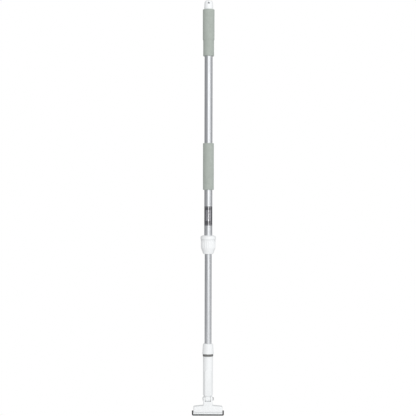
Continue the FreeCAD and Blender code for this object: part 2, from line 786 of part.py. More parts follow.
def make_pivot_bolt():
    """Bolt with a round head and a hexagon socket, in from the right."""
    tip = fork_width - sizes.bolt_tip_gap
    body = turned_body("pivot_bolt", [
        (ZERO, tip.minus()),
        (sizes.bolt_diameter.half(), tip.minus()),
        (sizes.bolt_diameter.half(), ZERO),
        (sizes.pivot_head_diameter.half(), ZERO),
        (sizes.pivot_head_diameter.half(), sizes.bolt_head_height),
        (ZERO, sizes.bolt_head_height),
    ])
    round_off(body, rims(body, sizes.pivot_head_diameter.half(), sizes.bolt_head_height), sizes.head_edge)
    socket = new_sketch(body, "hexagon_socket", "XY_Plane", sizes.bolt_head_height)
    corner = sizes.hex_socket.times(1 / math.sqrt(3))
    draw_polygon(socket, [
        (corner.times(math.cos(math.radians(angle))), corner.times(math.sin(math.radians(angle))))
        for angle in range(0, 360, 60)
    ])
    pocket(body, socket, sizes.hex_depth)
    to_the_right = FreeCAD.Rotation(Vector(0, 1, 0), 90)
    set_placement(body, to_the_right, (fork_width.half(), ZERO, sizes.pivot_height))


# ------------------------------------------------------------ handle and nut

def make_handle():
    """Hollow handle with a threaded neck on top and a tongue below."""
    body = turned_body("handle", [
        (ZERO, handle_bottom),
        (handle_radius, handle_bottom),
        (handle_radius, handle_top),
        (neck_radius, handle_top),
        (neck_radius, neck_top),
        (ZERO, neck_top),
    ])
    ends = rims(body, handle_radius, handle_bottom) + rims(body, handle_radius, handle_top)
    round_off(body, ends, sizes.handle_edge)

    side = sizes.panel_width.half()
    front = handle_radius + sizes.panel_rise
    foot_side = side + sizes.panel_flare
    arch_centre = handle_bottom + sizes.panel_length - side
    foot = new_sketch(body, "panel_foot", "XZ_Plane", front - sizes.panel_depth)
    draw_arched(foot, foot_side, handle_bottom, arch_centre)
    face = new_sketch(body, "panel_face", "XZ_Plane", front)
    draw_arched(face, side, handle_bottom, arch_centre)
    panel = loft_between(body, foot, face)
    mirror_feature(body, panel, "XZ_Plane")
    face_rim = edges_where(body, lambda *ends: all(is_near(abs(end.y), front) for end in ends))
    round_off(body, face_rim, sizes.panel_edge)

    bore = new_sketch(body, "spigot_bore", "XY_Plane", neck_top)
    draw_circle(bore, ZERO, ZERO, sizes.handle_bore)
    pocket(body, bore, neck_top - bore_floor)

    tongue = new_sketch(body, "tongue_outline", "YZ_Plane")
    draw_arched(tongue, sizes.tongue_radius, handle_bottom + sizes.handle_edge.times(2), sizes.pivot_height)
    pad_both_ways(body, tongue, sizes.tongue_width)
    hole_along_x(body, "pivot_hole", sizes.pivot_height, pivot_hole)

    keyways = new_sketch(body, "keyways", "XY_Plane", neck_top)
    room = sizes.spigot_clearance
    reach = bore_radius + sizes.key_height
    half_key = sizes.key_width.half() + room
    draw_box(keyways, reach.minus(), reach, half_key.minus(), half_key)
    pocket(body, keyways, sizes.spigot_insertion + OVERRUN)


def make_coupling_seal():
    """Rubber ring with two grooves that the coupling nut presses on the handle."""
    inner = neck_radius + sizes.seal_clearance
    outer = handle_radius + sizes.seal_overhang
    waist = outer - sizes.seal_groove
    band = sizes.seal_height.times(1 / SEAL_BANDS)
    levels = [handle_top + band.times(count) for count in range(SEAL_BANDS)]
    body = turned_body("coupling_seal", [
        (inner, handle_top),
        (outer, handle_top),
        (outer, levels[1]),
        (waist, levels[1]),
        (waist, levels[2]),
        (outer, levels[2]),
        (outer, levels[3]),
        (waist, levels[3]),
        (waist, levels[4]),
        (outer, levels[4]),
        (outer, seal_top),
        (inner, seal_top),
    ])
    ends = rims(body, outer, handle_top) + rims(body, outer, seal_top)
    round_off(body, ends, sizes.head_edge)


def make_coupling_nut():
    """Cone-shaped union nut that pulls the spigot's flange on to the handle."""
    passage = lower_radius + sizes.thread_clearance
    shoulder = tube_bottom + sizes.seat_gap
    upper = nut_thread + sizes.nut_upper_wall
    lower = nut_thread + sizes.nut_lower_wall
    body = turned_body("coupling_nut", [
        (nut_thread, seal_top),
        (lower, seal_top),
        (upper, coupling_top),
        (passage, coupling_top),
        (passage, shoulder),
        (nut_thread, shoulder),
    ])
    round_off(body, rims(body, upper, coupling_top), sizes.nut_shoulder_edge)
    round_off(body, rims(body, lower, seal_top), sizes.head_edge)


# ----------------------------------------------------------------- lower pole

def make_spring_pin(label, around, height):
    """Rolled pin along Y, with its slit upwards and its ends just inside this diameter."""
    body = new_body(label)
    length = around - sizes.pin_recess.times(2)
    outline = new_sketch(body, label + "_outline", "XZ_Plane")
    draw_circle(outline, ZERO, height, sizes.pin_diameter)
    draw_circle(outline, ZERO, height, sizes.pin_diameter - sizes.pin_wall.times(2))
    pad_both_ways(body, outline, length)
    slit = new_sketch(body, label + "_slit", "XZ_Plane")
    side = sizes.pin_slit.half()
    draw_box(slit, side.minus(), side, height, height + sizes.pin_diameter)
    pocket(body, slit, both_ways=True)


def make_spigot():
    """Plug in the lower tube's end, with a flange and two keys for the handle."""
    shank = bore_radius - sizes.spigot_clearance
    bore = sizes.spigot_bore.half()
    bottom = neck_top - sizes.spigot_insertion
    body = turned_body("spigot", [
        (bore, bottom),
        (shank, bottom),
        (shank, neck_top),
        (neck_radius - sizes.spigot_clearance, neck_top),
        (neck_radius - sizes.spigot_clearance, tube_bottom),
        (plug_radius, tube_bottom),
        (plug_radius, tube_bottom + sizes.spigot_plug),
        (bore, tube_bottom + sizes.spigot_plug),
    ])
    half_key = sizes.key_width.half()
    keys = new_sketch(body, "keys", "XY_Plane", bottom)
    reach = shank + sizes.key_height
    draw_box(keys, reach.minus(), (shank - sizes.key_height).minus(), half_key.minus(), half_key)
    draw_box(keys, shank - sizes.key_height, reach, half_key.minus(), half_key)
    pad_up(body, keys, sizes.spigot_insertion)
    hole_along_y(body, "pin_hole", ZERO, pin_height, sizes.pin_diameter)


def make_lower_tube():
    body = turned_body("lower_tube", ring_corners(lower_bore, lower_radius, tube_bottom, tube_top))
    hole_along_y(body, "pin_hole", ZERO, pin_height, sizes.pin_diameter)


def make_guide_plug():
    """Plug in the lower tube's top end, with a groove for the guide ring."""
    vent = sizes.guide_vent.half()
    core = lower_radius - sizes.guide_step
    groove_bottom = tube_top + sizes.guide_flange
    groove_top = groove_bottom + sizes.guide_groove
    turned_body("guide_plug", [
        (vent, tube_top - sizes.guide_plug_length),
        (plug_radius, tube_top - sizes.guide_plug_length),
        (plug_radius, tube_top),
        (lower_radius, tube_top),
        (lower_radius, groove_bottom),
        (core, groove_bottom),
        (core, groove_top),
        (lower_radius, groove_top),
        (lower_radius, groove_top + sizes.guide_flange),
        (vent, groove_top + sizes.guide_flange),
    ])


def make_guide_ring():
    """Split ring that slides in the upper tube and lets the lower tube turn."""
    bottom = tube_top + sizes.guide_flange + sizes.guide_play
    top = bottom + sizes.guide_groove - sizes.guide_play.times(2)
    inner = lower_radius - sizes.guide_step + sizes.guide_running
    outer = upper_bore - sizes.guide_running
    body = turned_body("guide_ring", ring_corners(inner, outer, bottom, top))
    slit = new_sketch(body, "ring_slit", "XY_Plane", top)
    side = sizes.guide_slit.half()
    draw_box(slit, side.minus(), side, ZERO, outer + OVERRUN)
    pocket(body, slit)


# ----------------------------------------------------------------- twist lock

def make_lock_collet():
    """Slit cone that the lock nut pushes into its seat to grip the lower tube."""
    seat_height = bush_bottom - sleeve_bottom
    inner = lower_radius + sizes.collet_clearance
    wide = mouth_radius - sizes.collet_wedge_gap
    flare = sizes.seat_flare.share(sizes.collet_tip_gap, seat_height)
    tip_radius = throat_radius + flare - sizes.collet_wedge_gap
    tip = bush_bottom - sizes.collet_tip_gap
    body = turned_body("lock_collet", [
        (inner, collet_bottom),
        (flange_radius, collet_bottom),
        (flange_radius, collet_shoulder),
        (wide, collet_shoulder),
        (wide, sleeve_bottom),
        (tip_radius, tip),
        (inner, tip),
    ])
    slit = new_sketch(body, "collet_slit", "XZ_Plane")
    side = sizes.collet_slit.half()
    draw_box(slit, side.minus(), side, collet_shoulder + sizes.collet_slit, tip + OVERRUN)
    cut = pocket(body, slit, both_ways=True)
    repeat_round(body, cut, sizes.collet_slit_count.formula, int(sizes.collet_slit_count.number))


def make_lock_nut():
    """Grip nut with a tapered nose, fluted for wet hands."""
    outer = thread_radius + sizes.lock_nut_wall
    nose = lower_radius + sizes.lock_nut_nose
    passage = lower_radius + sizes.passage_clearance
    thread = thread_radius + sizes.thread_clearance
    pocket_radius = flange_radius + sizes.thread_clearance
    taper_top = lock_bottom + sizes.lock_nut_taper
    body = turned_body("lock_nut", [
        (passage, lock_bottom),
        (nose, lock_bottom),
        (outer, taper_top),
        (outer, lock_top),
        (thread, lock_top),
        (thread, collet_shoulder),
        (pocket_radius, collet_shoulder),
        (pocket_radius, collet_bottom),
        (passage, collet_bottom),
    ])
    round_off(body, rims(body, nose, lock_bottom), sizes.lock_nut_edge)
    round_off(body, rims(body, outer, lock_top), sizes.lock_nut_edge)
    flute = new_sketch(body, "flute", "XY_Plane", taper_top)
    centre = outer + sizes.flute_diameter.half() - sizes.flute_depth
    draw_circle(flute, centre, ZERO, sizes.flute_diameter)
    straight = sizes.lock_nut_height - sizes.lock_nut_taper - sizes.lock_nut_edge.times(2)
    cut = pocket(body, flute, straight, along_normal=True)
    repeat_round(body, cut, sizes.flute_count.formula, int(sizes.flute_count.number))


def make_lock_body():
    """Collar on the upper tube's end, with a threaded sleeve and a conical seat."""
    outer = thread_radius + sizes.rim_reach
    body = turned_body("lock_body", [
        (skirt_bore, rim_top),
        (outer, rim_top),
        (outer, rim_bottom),
        (thread_radius, rim_bottom),
        (thread_radius, sleeve_bottom),
        (mouth_radius, sleeve_bottom),
        (throat_radius, bush_bottom),
        (skirt_bore, bush_bottom),
    ])
    round_off(body, rims(body, outer, rim_top), sizes.rim_edge)
    round_off(body, rims(body, outer, rim_bottom), sizes.head_edge)


# ----------------------------------------------------------------- upper pole

def make_tube_bush():
    """Liner that guides the lower tube; the guide ring stops against its top."""
    inner = lower_radius + sizes.bush_clearance
    flange = skirt_bore - sizes.bush_flange_gap
    outer = upper_bore - sizes.plug_clearance
    turned_body("tube_bush", [
        (inner, bush_bottom),
        (flange, bush_bottom),
        (flange, upper_bottom),
        (outer, upper_bottom),
        (outer, upper_bottom + sizes.bush_length),
        (inner, upper_bottom + sizes.bush_length),
    ])


def make_upper_tube():
    body = turned_body("upper_tube", ring_corners(upper_bore, upper_radius, upper_bottom, upper_top))
    hole_along_y(body, "pin_hole", ZERO, cap_pin_height, sizes.pin_diameter)


def make_pole_label():
    low = rim_top + sizes.label_offset
    outer = upper_radius + sizes.label_thickness
    turned_body("pole_label", ring_corners(upper_radius, outer, low, low + sizes.label_height))


def make_middle_grip():
    low = rim_top + sizes.middle_grip_offset
    high = low + sizes.middle_grip_length
    outer = upper_radius + sizes.foam_thickness
    body = turned_body("middle_grip", ring_corners(upper_radius, outer, low, high))
    round_off(body, rims(body, outer, low) + rims(body, outer, high), sizes.foam_edge)


def make_top_grip():
    """Foam sleeve, stretched over the cap's skirt along its upper part."""
    low = cap_shoulder - sizes.top_grip_length
    thin = upper_radius + sizes.foam_thickness
    thick = skirt_radius + sizes.foam_thickness
    body = turned_body("top_grip", [
        (upper_radius, low),
        (thin, low),
        (thin, skirt_bottom),
        (thick, skirt_bottom),
        (thick, cap_shoulder),
        (skirt_radius, cap_shoulder),
        (skirt_radius, skirt_bottom),
        (upper_radius, skirt_bottom),
    ])
    round_off(body, rims(body, thin, low) + rims(body, thick, cap_shoulder), sizes.foam_edge)


def make_hanging_cap():
    """End cap with a long skirt under the foam and a hole to hang the pole by."""
    base = skirt_radius + sizes.cap_step
    crown = base - sizes.cap_draft
    body = turned_body("hanging_cap", [
        (skirt_bore, skirt_bottom),
        (skirt_radius, skirt_bottom),
        (skirt_radius, cap_shoulder),
        (base, cap_shoulder),
        (crown, cap_top),
        (ZERO, cap_top),
        (ZERO, cap_floor),
        (skirt_bore, cap_floor),
    ])
    round_off(body, rims(body, crown, cap_top), sizes.cap_dome)
    hole_along_y(body, "hanging_hole", ZERO, cap_top - sizes.cap_hole_drop, sizes.cap_hole)
    hole_along_y(body, "pin_hole", ZERO, cap_pin_height, sizes.pin_diameter)


def make_everything():
    make_rubber_blade()
    make_blade_channel()
    make_head_body()
    make_head_screws()
    make_pivot_washers()
    make_pivot_sleeve_nut()
    make_pivot_bolt()
    make_handle()
    make_coupling_seal()
    make_coupling_nut()
    make_spigot()
    make_spring_pin("spigot_pin", sizes.lower_diameter, pin_height)
    make_lower_tube()
    make_guide_plug()
    make_guide_ring()
    make_lock_collet()
    make_lock_nut()
    make_lock_body()
    make_tube_bush()
    make_upper_tube()
    make_pole_label()
    make_middle_grip()
    make_top_grip()
    make_hanging_cap()
    make_spring_pin("cap_pin", skirt_radius.times(2), cap_pin_height)


def check_everything():
    """Stops before anything is written if an object failed or a shape is bad."""
    failed = [item for item in DOC.Objects if "Invalid" in item.State or "Error" in item.State]
    if failed:
        names = ["%s of %s" % (item.Name, item.getParentGeoFeatureGroup().Label) for item in failed]
        raise RuntimeError("failed: " + ", ".join(names))
    for item in SUB_PARTS:
        if item.Shape.isNull() or not item.Shape.isValid():
            raise RuntimeError("%s has a bad shape" % item.Label)
        if not item.Shape.Solids:
            raise RuntimeError("%s has no solid" % item.Label)


make_everything()
DOC.recompute()
check_everything()
os.makedirs("parts", exist_ok=True)
for item in SUB_PARTS:
    item.Shape.exportStep(os.path.join("parts", item.Label + ".step"))
    box = item.Shape.BoundBox
    print("%-18s %d solid(s) %10.1f mm3  z %.2f to %.2f" % (
        item.Label, len(item.Shape.Solids), item.Shape.Volume, box.ZMin, box.ZMax))
print("%d sub-parts written" % len(SUB_PARTS))
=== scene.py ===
import json
import math

import bmesh
import bpy
from bpy.props import FloatProperty, FloatVectorProperty, IntProperty, PointerProperty
from mathutils import Matrix, Vector, noise


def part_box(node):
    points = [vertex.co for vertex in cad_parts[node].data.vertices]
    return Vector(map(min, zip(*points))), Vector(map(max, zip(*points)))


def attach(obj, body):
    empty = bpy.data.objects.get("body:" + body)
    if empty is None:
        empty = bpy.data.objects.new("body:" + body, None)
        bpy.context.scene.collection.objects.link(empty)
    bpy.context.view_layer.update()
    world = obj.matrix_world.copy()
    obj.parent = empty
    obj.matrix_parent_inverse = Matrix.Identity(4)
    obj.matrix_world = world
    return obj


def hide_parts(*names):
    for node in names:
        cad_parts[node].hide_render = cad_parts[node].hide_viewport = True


bl_info = {
    "name": "Window Squeegee",
    "version": (1, 0, 0),
    "blender": (4, 5, 0),
    "location": "3D View > Sidebar > Squeegee",
    "description": "Makes a window squeegee on a telescopic pole round its CAD frame",
    "category": "Object",
}

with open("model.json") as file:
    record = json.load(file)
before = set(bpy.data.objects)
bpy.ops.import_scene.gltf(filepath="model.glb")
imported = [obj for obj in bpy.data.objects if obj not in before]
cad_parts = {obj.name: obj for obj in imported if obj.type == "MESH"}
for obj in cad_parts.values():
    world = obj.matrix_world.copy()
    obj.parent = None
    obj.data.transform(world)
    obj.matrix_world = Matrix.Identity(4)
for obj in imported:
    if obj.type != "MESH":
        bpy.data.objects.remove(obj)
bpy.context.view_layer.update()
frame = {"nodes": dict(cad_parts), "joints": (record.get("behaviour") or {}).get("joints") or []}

FULL_TURN = 2 * math.pi

# Lengths in metres: a radius that counts as nothing, how near two points are one,
# and the gap round a piece that fits snugly.
MM = 0.001
TINY = 1e-7
SAME_POINT = 2e-6
SNUG = 0.05 * MM


# ------------------------------------------------------------ places and sizes

def low(node):
    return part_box(node)[0]


def high(node):
    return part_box(node)[1]


def joint_place(name):
    for joint in frame["joints"]:
        if joint["name"] == name:
            return Vector(joint["pos_m"])
    raise KeyError(name)


PIVOT = joint_place("head_tilt")

# Radii and heights that more than one piece uses, read from the frame.
TUBE = high("upper_tube").x
LOWER_TUBE = high("lower_tube").x
FOAM_WALL = high("middle_grip").x - TUBE
SKIRT = high("top_grip").x - FOAM_WALL
SKIRT_END = low("hanging_cap").z
SHOULDER = high("top_grip").z
EAR_OUTSIDE = high("pivot_sleeve_nut").x + 0.1 * MM
EAR_INSIDE = high("pivot_washers").x + 0.05 * MM
TONGUE_SIDE = EAR_INSIDE - 0.9 * MM
EAR_RADIUS = high("head_body").z - PIVOT.z
HANDLE_RADIUS = high("handle").x
HANDLE_BOTTOM = high("head_body").z + 0.7 * MM
HANDLE_TOP = low("coupling_seal").z
NECK_RADIUS = HANDLE_RADIUS - 1.5 * MM
PIVOT_HOLE = 3.1 * MM


# ------------------------------------------------------------------- settings

def colour_setting(name, description, default):
    return FloatVectorProperty(
        name=name, description=description, subtype="COLOR", size=3, default=default, min=0, max=1)


def share_setting(name, description, default):
    return FloatProperty(
        name=name, description=description, subtype="FACTOR", default=default, min=0, max=1)


def length_setting(name, description, default, lowest, highest):
    return FloatProperty(
        name=name, description=description, subtype="DISTANCE", default=default,
        min=lowest, max=highest)


class PlasticLook(bpy.types.PropertyGroup):
    colour: colour_setting("Colour", "Colour of the white mouldings", (0.86, 0.875, 0.885))
    roughness: share_setting("Roughness", "How dull the white mouldings are", 0.50)
    grain: length_setting(
        "Grain", "Size of the mould's fine spark-eroded grain", 0.35 * MM, 0.05 * MM, 5 * MM)


class MetalLook(bpy.types.PropertyGroup):
    tube_colour: colour_setting("Tube colour", "Colour of the anodised tubes", (0.80, 0.815, 0.835))
    tube_roughness: share_setting("Tube roughness", "How dull the drawn tubes are", 0.54)
    plated_colour: colour_setting(
        "Plated colour", "Colour of the bolt, the sleeve nut, the screws and the pins",
        (0.72, 0.72, 0.73))


class FoamLook(bpy.types.PropertyGroup):
    colour: colour_setting("Colour", "Colour of the foam grips", (0.415, 0.455, 0.42))
    cell: length_setting("Cell", "Width of one foam cell on the skin", 0.8 * MM, 0.2 * MM, 5 * MM)
    unevenness: length_setting(
        "Unevenness", "How far the ground skin strays from a true cylinder", 0.16 * MM, 0, 1 * MM)
    end_rounding: length_setting(
        "End rounding", "Rounding of a grip's two ends", 0.9 * MM, 0.2 * MM, 3 * MM)
    fill: share_setting("Fill", "How tight the foam sits on its tube", 0.95)


class RubberLook(bpy.types.PropertyGroup):
    blade_colour: colour_setting("Blade colour", "Colour of the wiping rubber", (0.055, 0.055, 0.054))
    seal_colour: colour_setting(
        "Seal colour", "Colour of the ring under the coupling nut", (0.19, 0.19, 0.186))
    seal_ridges: IntProperty(
        name="Seal ridges", description="Ridges round the seal", default=3, min=1, max=8)


class LabelLook(bpy.types.PropertyGroup):
    film_colour: colour_setting(
        "Film colour", "Ground colour of the printed film", (0.032, 0.032, 0.043))
    panel_colour: colour_setting(
        "Panel colour", "Colour of the panel on the front", (0.21, 0.21, 0.235))
    overlap: length_setting(
        "Overlap", "How far the film laps over itself at the back", 5 * MM, 0, 20 * MM)
    film: length_setting("Film", "Thickness of the film", 0.08 * MM, 0.02 * MM, 0.3 * MM)


class LockLook(bpy.types.PropertyGroup):
    flutes: IntProperty(
        name="Flutes", description="Grip flutes round the lock nut", default=20, min=3, max=60)
    flute_depth: length_setting("Flute depth", "Depth of the grip flutes", 0.7 * MM, 0, 2 * MM)
    thread_pitch: length_setting(
        "Thread pitch", "Rise of the lock's thread in one turn", 4 * MM, 1 * MM, 10 * MM)
    thread_depth: length_setting(
        "Thread depth", "Height of the lock's thread ridge", 0.8 * MM, 0.2 * MM, 2 * MM)


class StageSetup(bpy.types.PropertyGroup):
    distance: length_setting("Distance", "Camera to the pole", 2.9, 0.5, 20)
    height: length_setting("Height", "Camera above the blade's edge", 0.571, 0, 3)
    field: length_setting("Field", "Height of the picture at the pole", 1.144, 0.1, 5)
    sideways: length_setting("Sideways", "Camera to the right of the pole", -0.0008, -1, 1)
    lean: FloatProperty(
        name="Lean", description="How far the camera leans to one side", subtype="ANGLE",
        default=math.radians(-0.12), min=-0.1, max=0.1)
    key_power: FloatProperty(
        name="Key light", description="Power of the soft light in front", unit="POWER",
        default=26, min=0, max=1000)
    fill_power: FloatProperty(
        name="Fill light", description="Power of the soft light on the right", unit="POWER",
        default=5, min=0, max=1000)
    surround: FloatProperty(
        name="Surround", description="Brightness of the room as it lights the object",
        default=0.62, min=0, max=5)
    reflected: FloatProperty(
        name="Reflected room", description="Brightness of the room as glossy reflections show it",
        default=0.30, min=0, max=5)


class SqueegeeSettings(bpy.types.PropertyGroup):
    plastic: PointerProperty(type=PlasticLook, name="Plastic", description="White mouldings")
    metal: PointerProperty(type=MetalLook, name="Metal", description="Tubes and fasteners")
    foam: PointerProperty(type=FoamLook, name="Foam", description="Foam grips")
    rubber: PointerProperty(type=RubberLook, name="Rubber", description="Blade and seal")
    label: PointerProperty(type=LabelLook, name="Label", description="Film on the tube")
    lock: PointerProperty(type=LockLook, name="Lock", description="Twist lock and its thread")
    stage: PointerProperty(type=StageSetup, name="Stage", description="Camera and light")


def settings():
    return bpy.context.scene.squeegee


# ----------------------------------------------------------------- node tools

class Nodes:
    """Adds nodes to a shader tree or a geometry tree."""

    def __init__(self, tree):
        self.tree = tree

    def add(self, kind, inputs=None, **options):
        """Adds a node. Its inputs are given by name or number, as values or outputs of others."""
        node = self.tree.nodes.new(kind)
        for name, value in options.items():
            setattr(node, name, value)
        self.set_inputs(node, inputs or {})
        return node

    def set_inputs(self, node, inputs):
        for key, value in inputs.items():
            if isinstance(value, bpy.types.NodeSocket):
                self.tree.links.new(value, node.inputs[key])
            else:
                node.inputs[key].default_value = value

    def output(self, kind, inputs=None, **options):
        """Adds a node and gives its first output."""
        return self.add(kind, inputs, **options).outputs[0]

    def maths(self, operation, first, second=0.0, clamp=False):
        return self.output("ShaderNodeMath", {0: first, 1: second}, operation=operation, use_clamp=clamp)

    def ramp(self, source, start, end, low=0.0, high=1.0, kind="SMOOTHSTEP"):
        """Takes the values between start and end to those between low and high."""
        inputs = {"Value": source, "From Min": start, "From Max": end, "To Min": low, "To Max": high}
        return self.output("ShaderNodeMapRange", inputs, interpolation_type=kind)


def rgba(colour, factor=1.0):
    return (*[min(1.0, channel * factor) for channel in colour], 1.0)


class Finish(Nodes):
    """A material with one Principled shader, and the nodes that most finishes share."""

    def __init__(self, name):
        self.material = bpy.data.materials.new(name)
        self.material.use_nodes = True
        super().__init__(self.material.node_tree)
        self.tree.nodes.clear()
        self.surface = self.add("ShaderNodeOutputMaterial").inputs["Surface"]
        self.shader = self.add("ShaderNodeBsdfPrincipled")
        self.tree.links.new(self.shader.outputs["BSDF"], self.surface)
        self.place = self.add("ShaderNodeTexCoord").outputs

    def set(self, **values):
        """Sets the shader's inputs, with an underscore for each space in a name."""
        self.set_inputs(self.shader, {name.replace("_", " "): value for name, value in values.items()})

    def stretched(self, scale):
        """Object coordinates, stretched along an axis whose scale is small."""
        return self.output("ShaderNodeMapping", {"Vector": self.place["Object"], "Scale": scale})

    def noise(self, width, detail, vector=None):
        """Noise whose blotches are about this wide, in metres."""
        source = vector or self.place["Object"]
        inputs = {"Vector": source, "Scale": 1.0 / width, "Detail": detail, "Roughness": 0.55}
        return self.output("ShaderNodeTexNoise", inputs)

    def cells(self, width):
        inputs = {"Vector": self.place["Object"], "Scale": 1.0 / width}
        return self.output("ShaderNodeTexVoronoi", inputs, feature="F1")

    def spread(self, source, lowest=0.0, highest=1.0):
        """Spreads a noise's middle over a range of values."""
        return self.ramp(source, 0.3, 0.7, lowest, highest, "LINEAR")

    def mix(self, factor, first, second):
        node = self.add("ShaderNodeMix", {0: factor, 6: first, 7: second}, data_type="RGBA")
        return node.outputs[2]

    def mottled(self, source, colour, darkest, palest):
        """A colour that a noise takes between two shades."""
        return self.mix(self.spread(source), rgba(colour, darkest), rgba(colour, palest))

    def bump(self, height, distance, strength, normal=None):
        inputs = {"Height": height, "Distance": distance, "Strength": strength}
        if normal:
            inputs["Normal"] = normal
        return self.output("ShaderNodeBump", inputs)


# ------------------------------------------------------------------- finishes

def white_plastic(name):
    """Satin white moulding with a fine mould grain and faint flow marks."""
    look = settings().plastic
    finish = Finish(name)
    flow = finish.noise(22 * MM, 2.0)
    grain = finish.noise(look.grain, 2.0)
    finish.set(
        Base_Color=finish.mottled(flow, look.colour, 0.985, 1.015),
        Roughness=finish.spread(grain, look.roughness - 0.05, look.roughness + 0.06),
        IOR=1.49, Coat_Weight=0.04, Coat_Roughness=0.2,
        Normal=finish.bump(grain, 0.03 * MM, 0.5, finish.bump(flow, 0.15 * MM, 0.25)))
    return finish.material


def tube_metal():
    """Drawn and anodised aluminium with fine lines along the tube."""
    look = settings().metal
    finish = Finish("anodised_tube")
    along = finish.stretched((1.0, 1.0, 0.004))
    lines = finish.noise(0.35 * MM, 3.0, along)
    bands = finish.noise(3.0 * MM, 2.0, along)
    handling = finish.noise(60 * MM, 4.0)
    base = finish.spread(lines, look.tube_roughness - 0.05, look.tube_roughness + 0.07)
    worn = finish.spread(handling, -0.03, 0.04)
    finish.set(
        Base_Color=finish.mottled(bands, look.tube_colour, 0.95, 1.04), Metallic=1.0,
        Roughness=finish.maths("ADD", base, worn), Normal=finish.bump(lines, 0.02 * MM, 0.06))
    return finish.material


def plated_steel(name):
    """Nickel-plated steel with fine turning marks."""
    finish = Finish(name)
    marks = finish.noise(0.25 * MM, 3.0)
    haze = finish.noise(4 * MM, 2.0)
    finish.set(
        Base_Color=finish.mottled(haze, settings().metal.plated_colour, 0.93, 1.05), Metallic=1.0,
        Roughness=finish.spread(marks, 0.2, 0.32), Normal=finish.bump(marks, 0.01 * MM, 0.4))
    return finish.material


def grip_foam(name):
    """Closed-cell foam with a ground skin: small cells, pores darkened with painted shade, and soft
    mottling.
    """
    look = settings().foam
    finish = Finish(name)
    cells = finish.cells(look.cell)
    pores = finish.noise(look.cell * 0.45, 3.0)
    mottle = finish.noise(9 * MM, 3.0)
    shade = finish.mottled(mottle, look.colour, 0.94, 1.06)
    # The colour goes darker where the pore noise is high: painted shade in the pore hollows.
    pore_shade = finish.maths("MULTIPLY", finish.spread(pores, 1.0, 0.0), 0.35, clamp=True)
    skin = finish.bump(cells, 0.12 * MM, 0.55)
    finish.set(
        Base_Color=finish.mix(pore_shade, shade, rgba(look.colour, 0.62)),
        Roughness=finish.spread(pores, 0.82, 0.96), IOR=1.45,
        Specular_IOR_Level=0.25, Sheen_Weight=0.12, Sheen_Roughness=0.6,
        Normal=finish.bump(pores, 0.10 * MM, 0.5, skin))
    return finish.material


def moulded_rubber(name, colour, extruded=False):
    """Dark rubber, with lines along X where it is extruded."""
    finish = Finish(name)
    source = finish.stretched((0.01, 1.0, 1.0)) if extruded else None
    lines = finish.noise(0.3 * MM, 3.0, source)
    bloom = finish.noise(6 * MM, 3.0)
    finish.set(
        Base_Color=finish.mottled(bloom, colour, 0.9, 1.15), Roughness=finish.spread(lines, 0.46, 0.6),
        IOR=1.52, Normal=finish.bump(lines, 0.03 * MM, 0.5))
    return finish.material


def natural_nylon():
    """Off-white nylon of the inner parts."""
    finish = Finish("natural_nylon")
    cloud = finish.noise(5 * MM, 3.0)
    grain = finish.noise(0.4 * MM, 2.0)
    finish.set(
        Base_Color=finish.mix(finish.spread(cloud), rgba((0.72, 0.70, 0.62)), rgba((0.80, 0.78, 0.71))),
        Roughness=finish.spread(grain, 0.42, 0.55), IOR=1.53,
        Subsurface_Weight=0.05, Normal=finish.bump(grain, 0.03 * MM, 0.4))
    return finish.material


def printed_film():
    """Glossy dark film with a grey panel and plain rules, placed by the label's UV map."""
    look = settings().label
    finish = Finish("printed_film")
    split = finish.add("ShaderNodeSeparateXYZ", {"Vector": finish.place["UV"]}).outputs
    round_way, up_way = split["X"], split["Y"]

    def inside(source, start, end, blur):
        """1 between two limits, with soft edges."""
        rise = finish.ramp(source, start - blur, start + blur)
        fall = finish.ramp(source, end - blur, end + blur, 1.0, 0.0)
        return finish.maths("MULTIPLY", rise, fall)

    def patch(left, right, bottom, top):
        across = inside(round_way, left, right, 0.002)
        return finish.maths("MULTIPLY", across, inside(up_way, bottom, top, 0.004))

    panel = patch(0.40, 0.60, 0.25, 0.80)
    rules = patch(0.43, 0.57, 0.70, 0.725)
    for right, bottom in ((0.54, 0.60), (0.56, 0.52), (0.51, 0.44)):
        rules = finish.maths("MAXIMUM", rules, patch(0.43, right, bottom, bottom + 0.02))
    lines = [inside(up_way, start, start + 0.02, 0.004) for start in (0.045, 0.935)]
    border = finish.maths("MAXIMUM", *lines)
    ink = finish.noise(0.2 * MM, 2.0)
    ground = finish.mottled(ink, look.film_colour, 0.95, 1.06)
    colour = finish.mix(panel, ground, rgba(look.panel_colour))
    colour = finish.mix(finish.maths("MULTIPLY", rules, 0.75), colour, rgba(look.film_colour, 1.5))
    colour = finish.mix(finish.maths("MULTIPLY", border, 0.6), colour, rgba(look.panel_colour, 0.9))
    ripple = finish.noise(7 * MM, 2.0)
    finish.set(
        Base_Color=colour, Roughness=finish.spread(ink, 0.30, 0.38), IOR=2.2, Coat_Weight=1.0,
        Coat_IOR=1.8, Coat_Roughness=0.16, Normal=finish.bump(ripple, 0.08 * MM, 0.3))
    return finish.material


# ---------------------------------------------------------------- shape tools

def rounded(corners, closed=True, steps=5):
    """Turns (across, up, rounding) corners into points, with arcs of those radii."""
    points = []
    count = len(corners)
    for index, (across, up, radius) in enumerate(corners):
        here = Vector((across, up))
        at_end = not closed and index in (0, count - 1)
        if radius <= 0 or at_end:
            points.append(here)
            continue
        back = (Vector(corners[index - 1][:2]) - here).normalized()
        onward = (Vector(corners[(index + 1) % count][:2]) - here).normalized()
        between = back.angle(onward)
        centre = here + (back + onward).normalized() * (radius / math.sin(between / 2))
        reach = radius / math.tan(between / 2)
        start = here + back * reach - centre
        end = here + onward * reach - centre
        turn = math.pi - between
        for step in range(steps + 1):
            share = step / steps
            arm = start * math.sin((1 - share) * turn) + end * math.sin(share * turn)
            points.append(centre + arm / math.sin(turn))
    return [(point.x, point.y) for point in points]


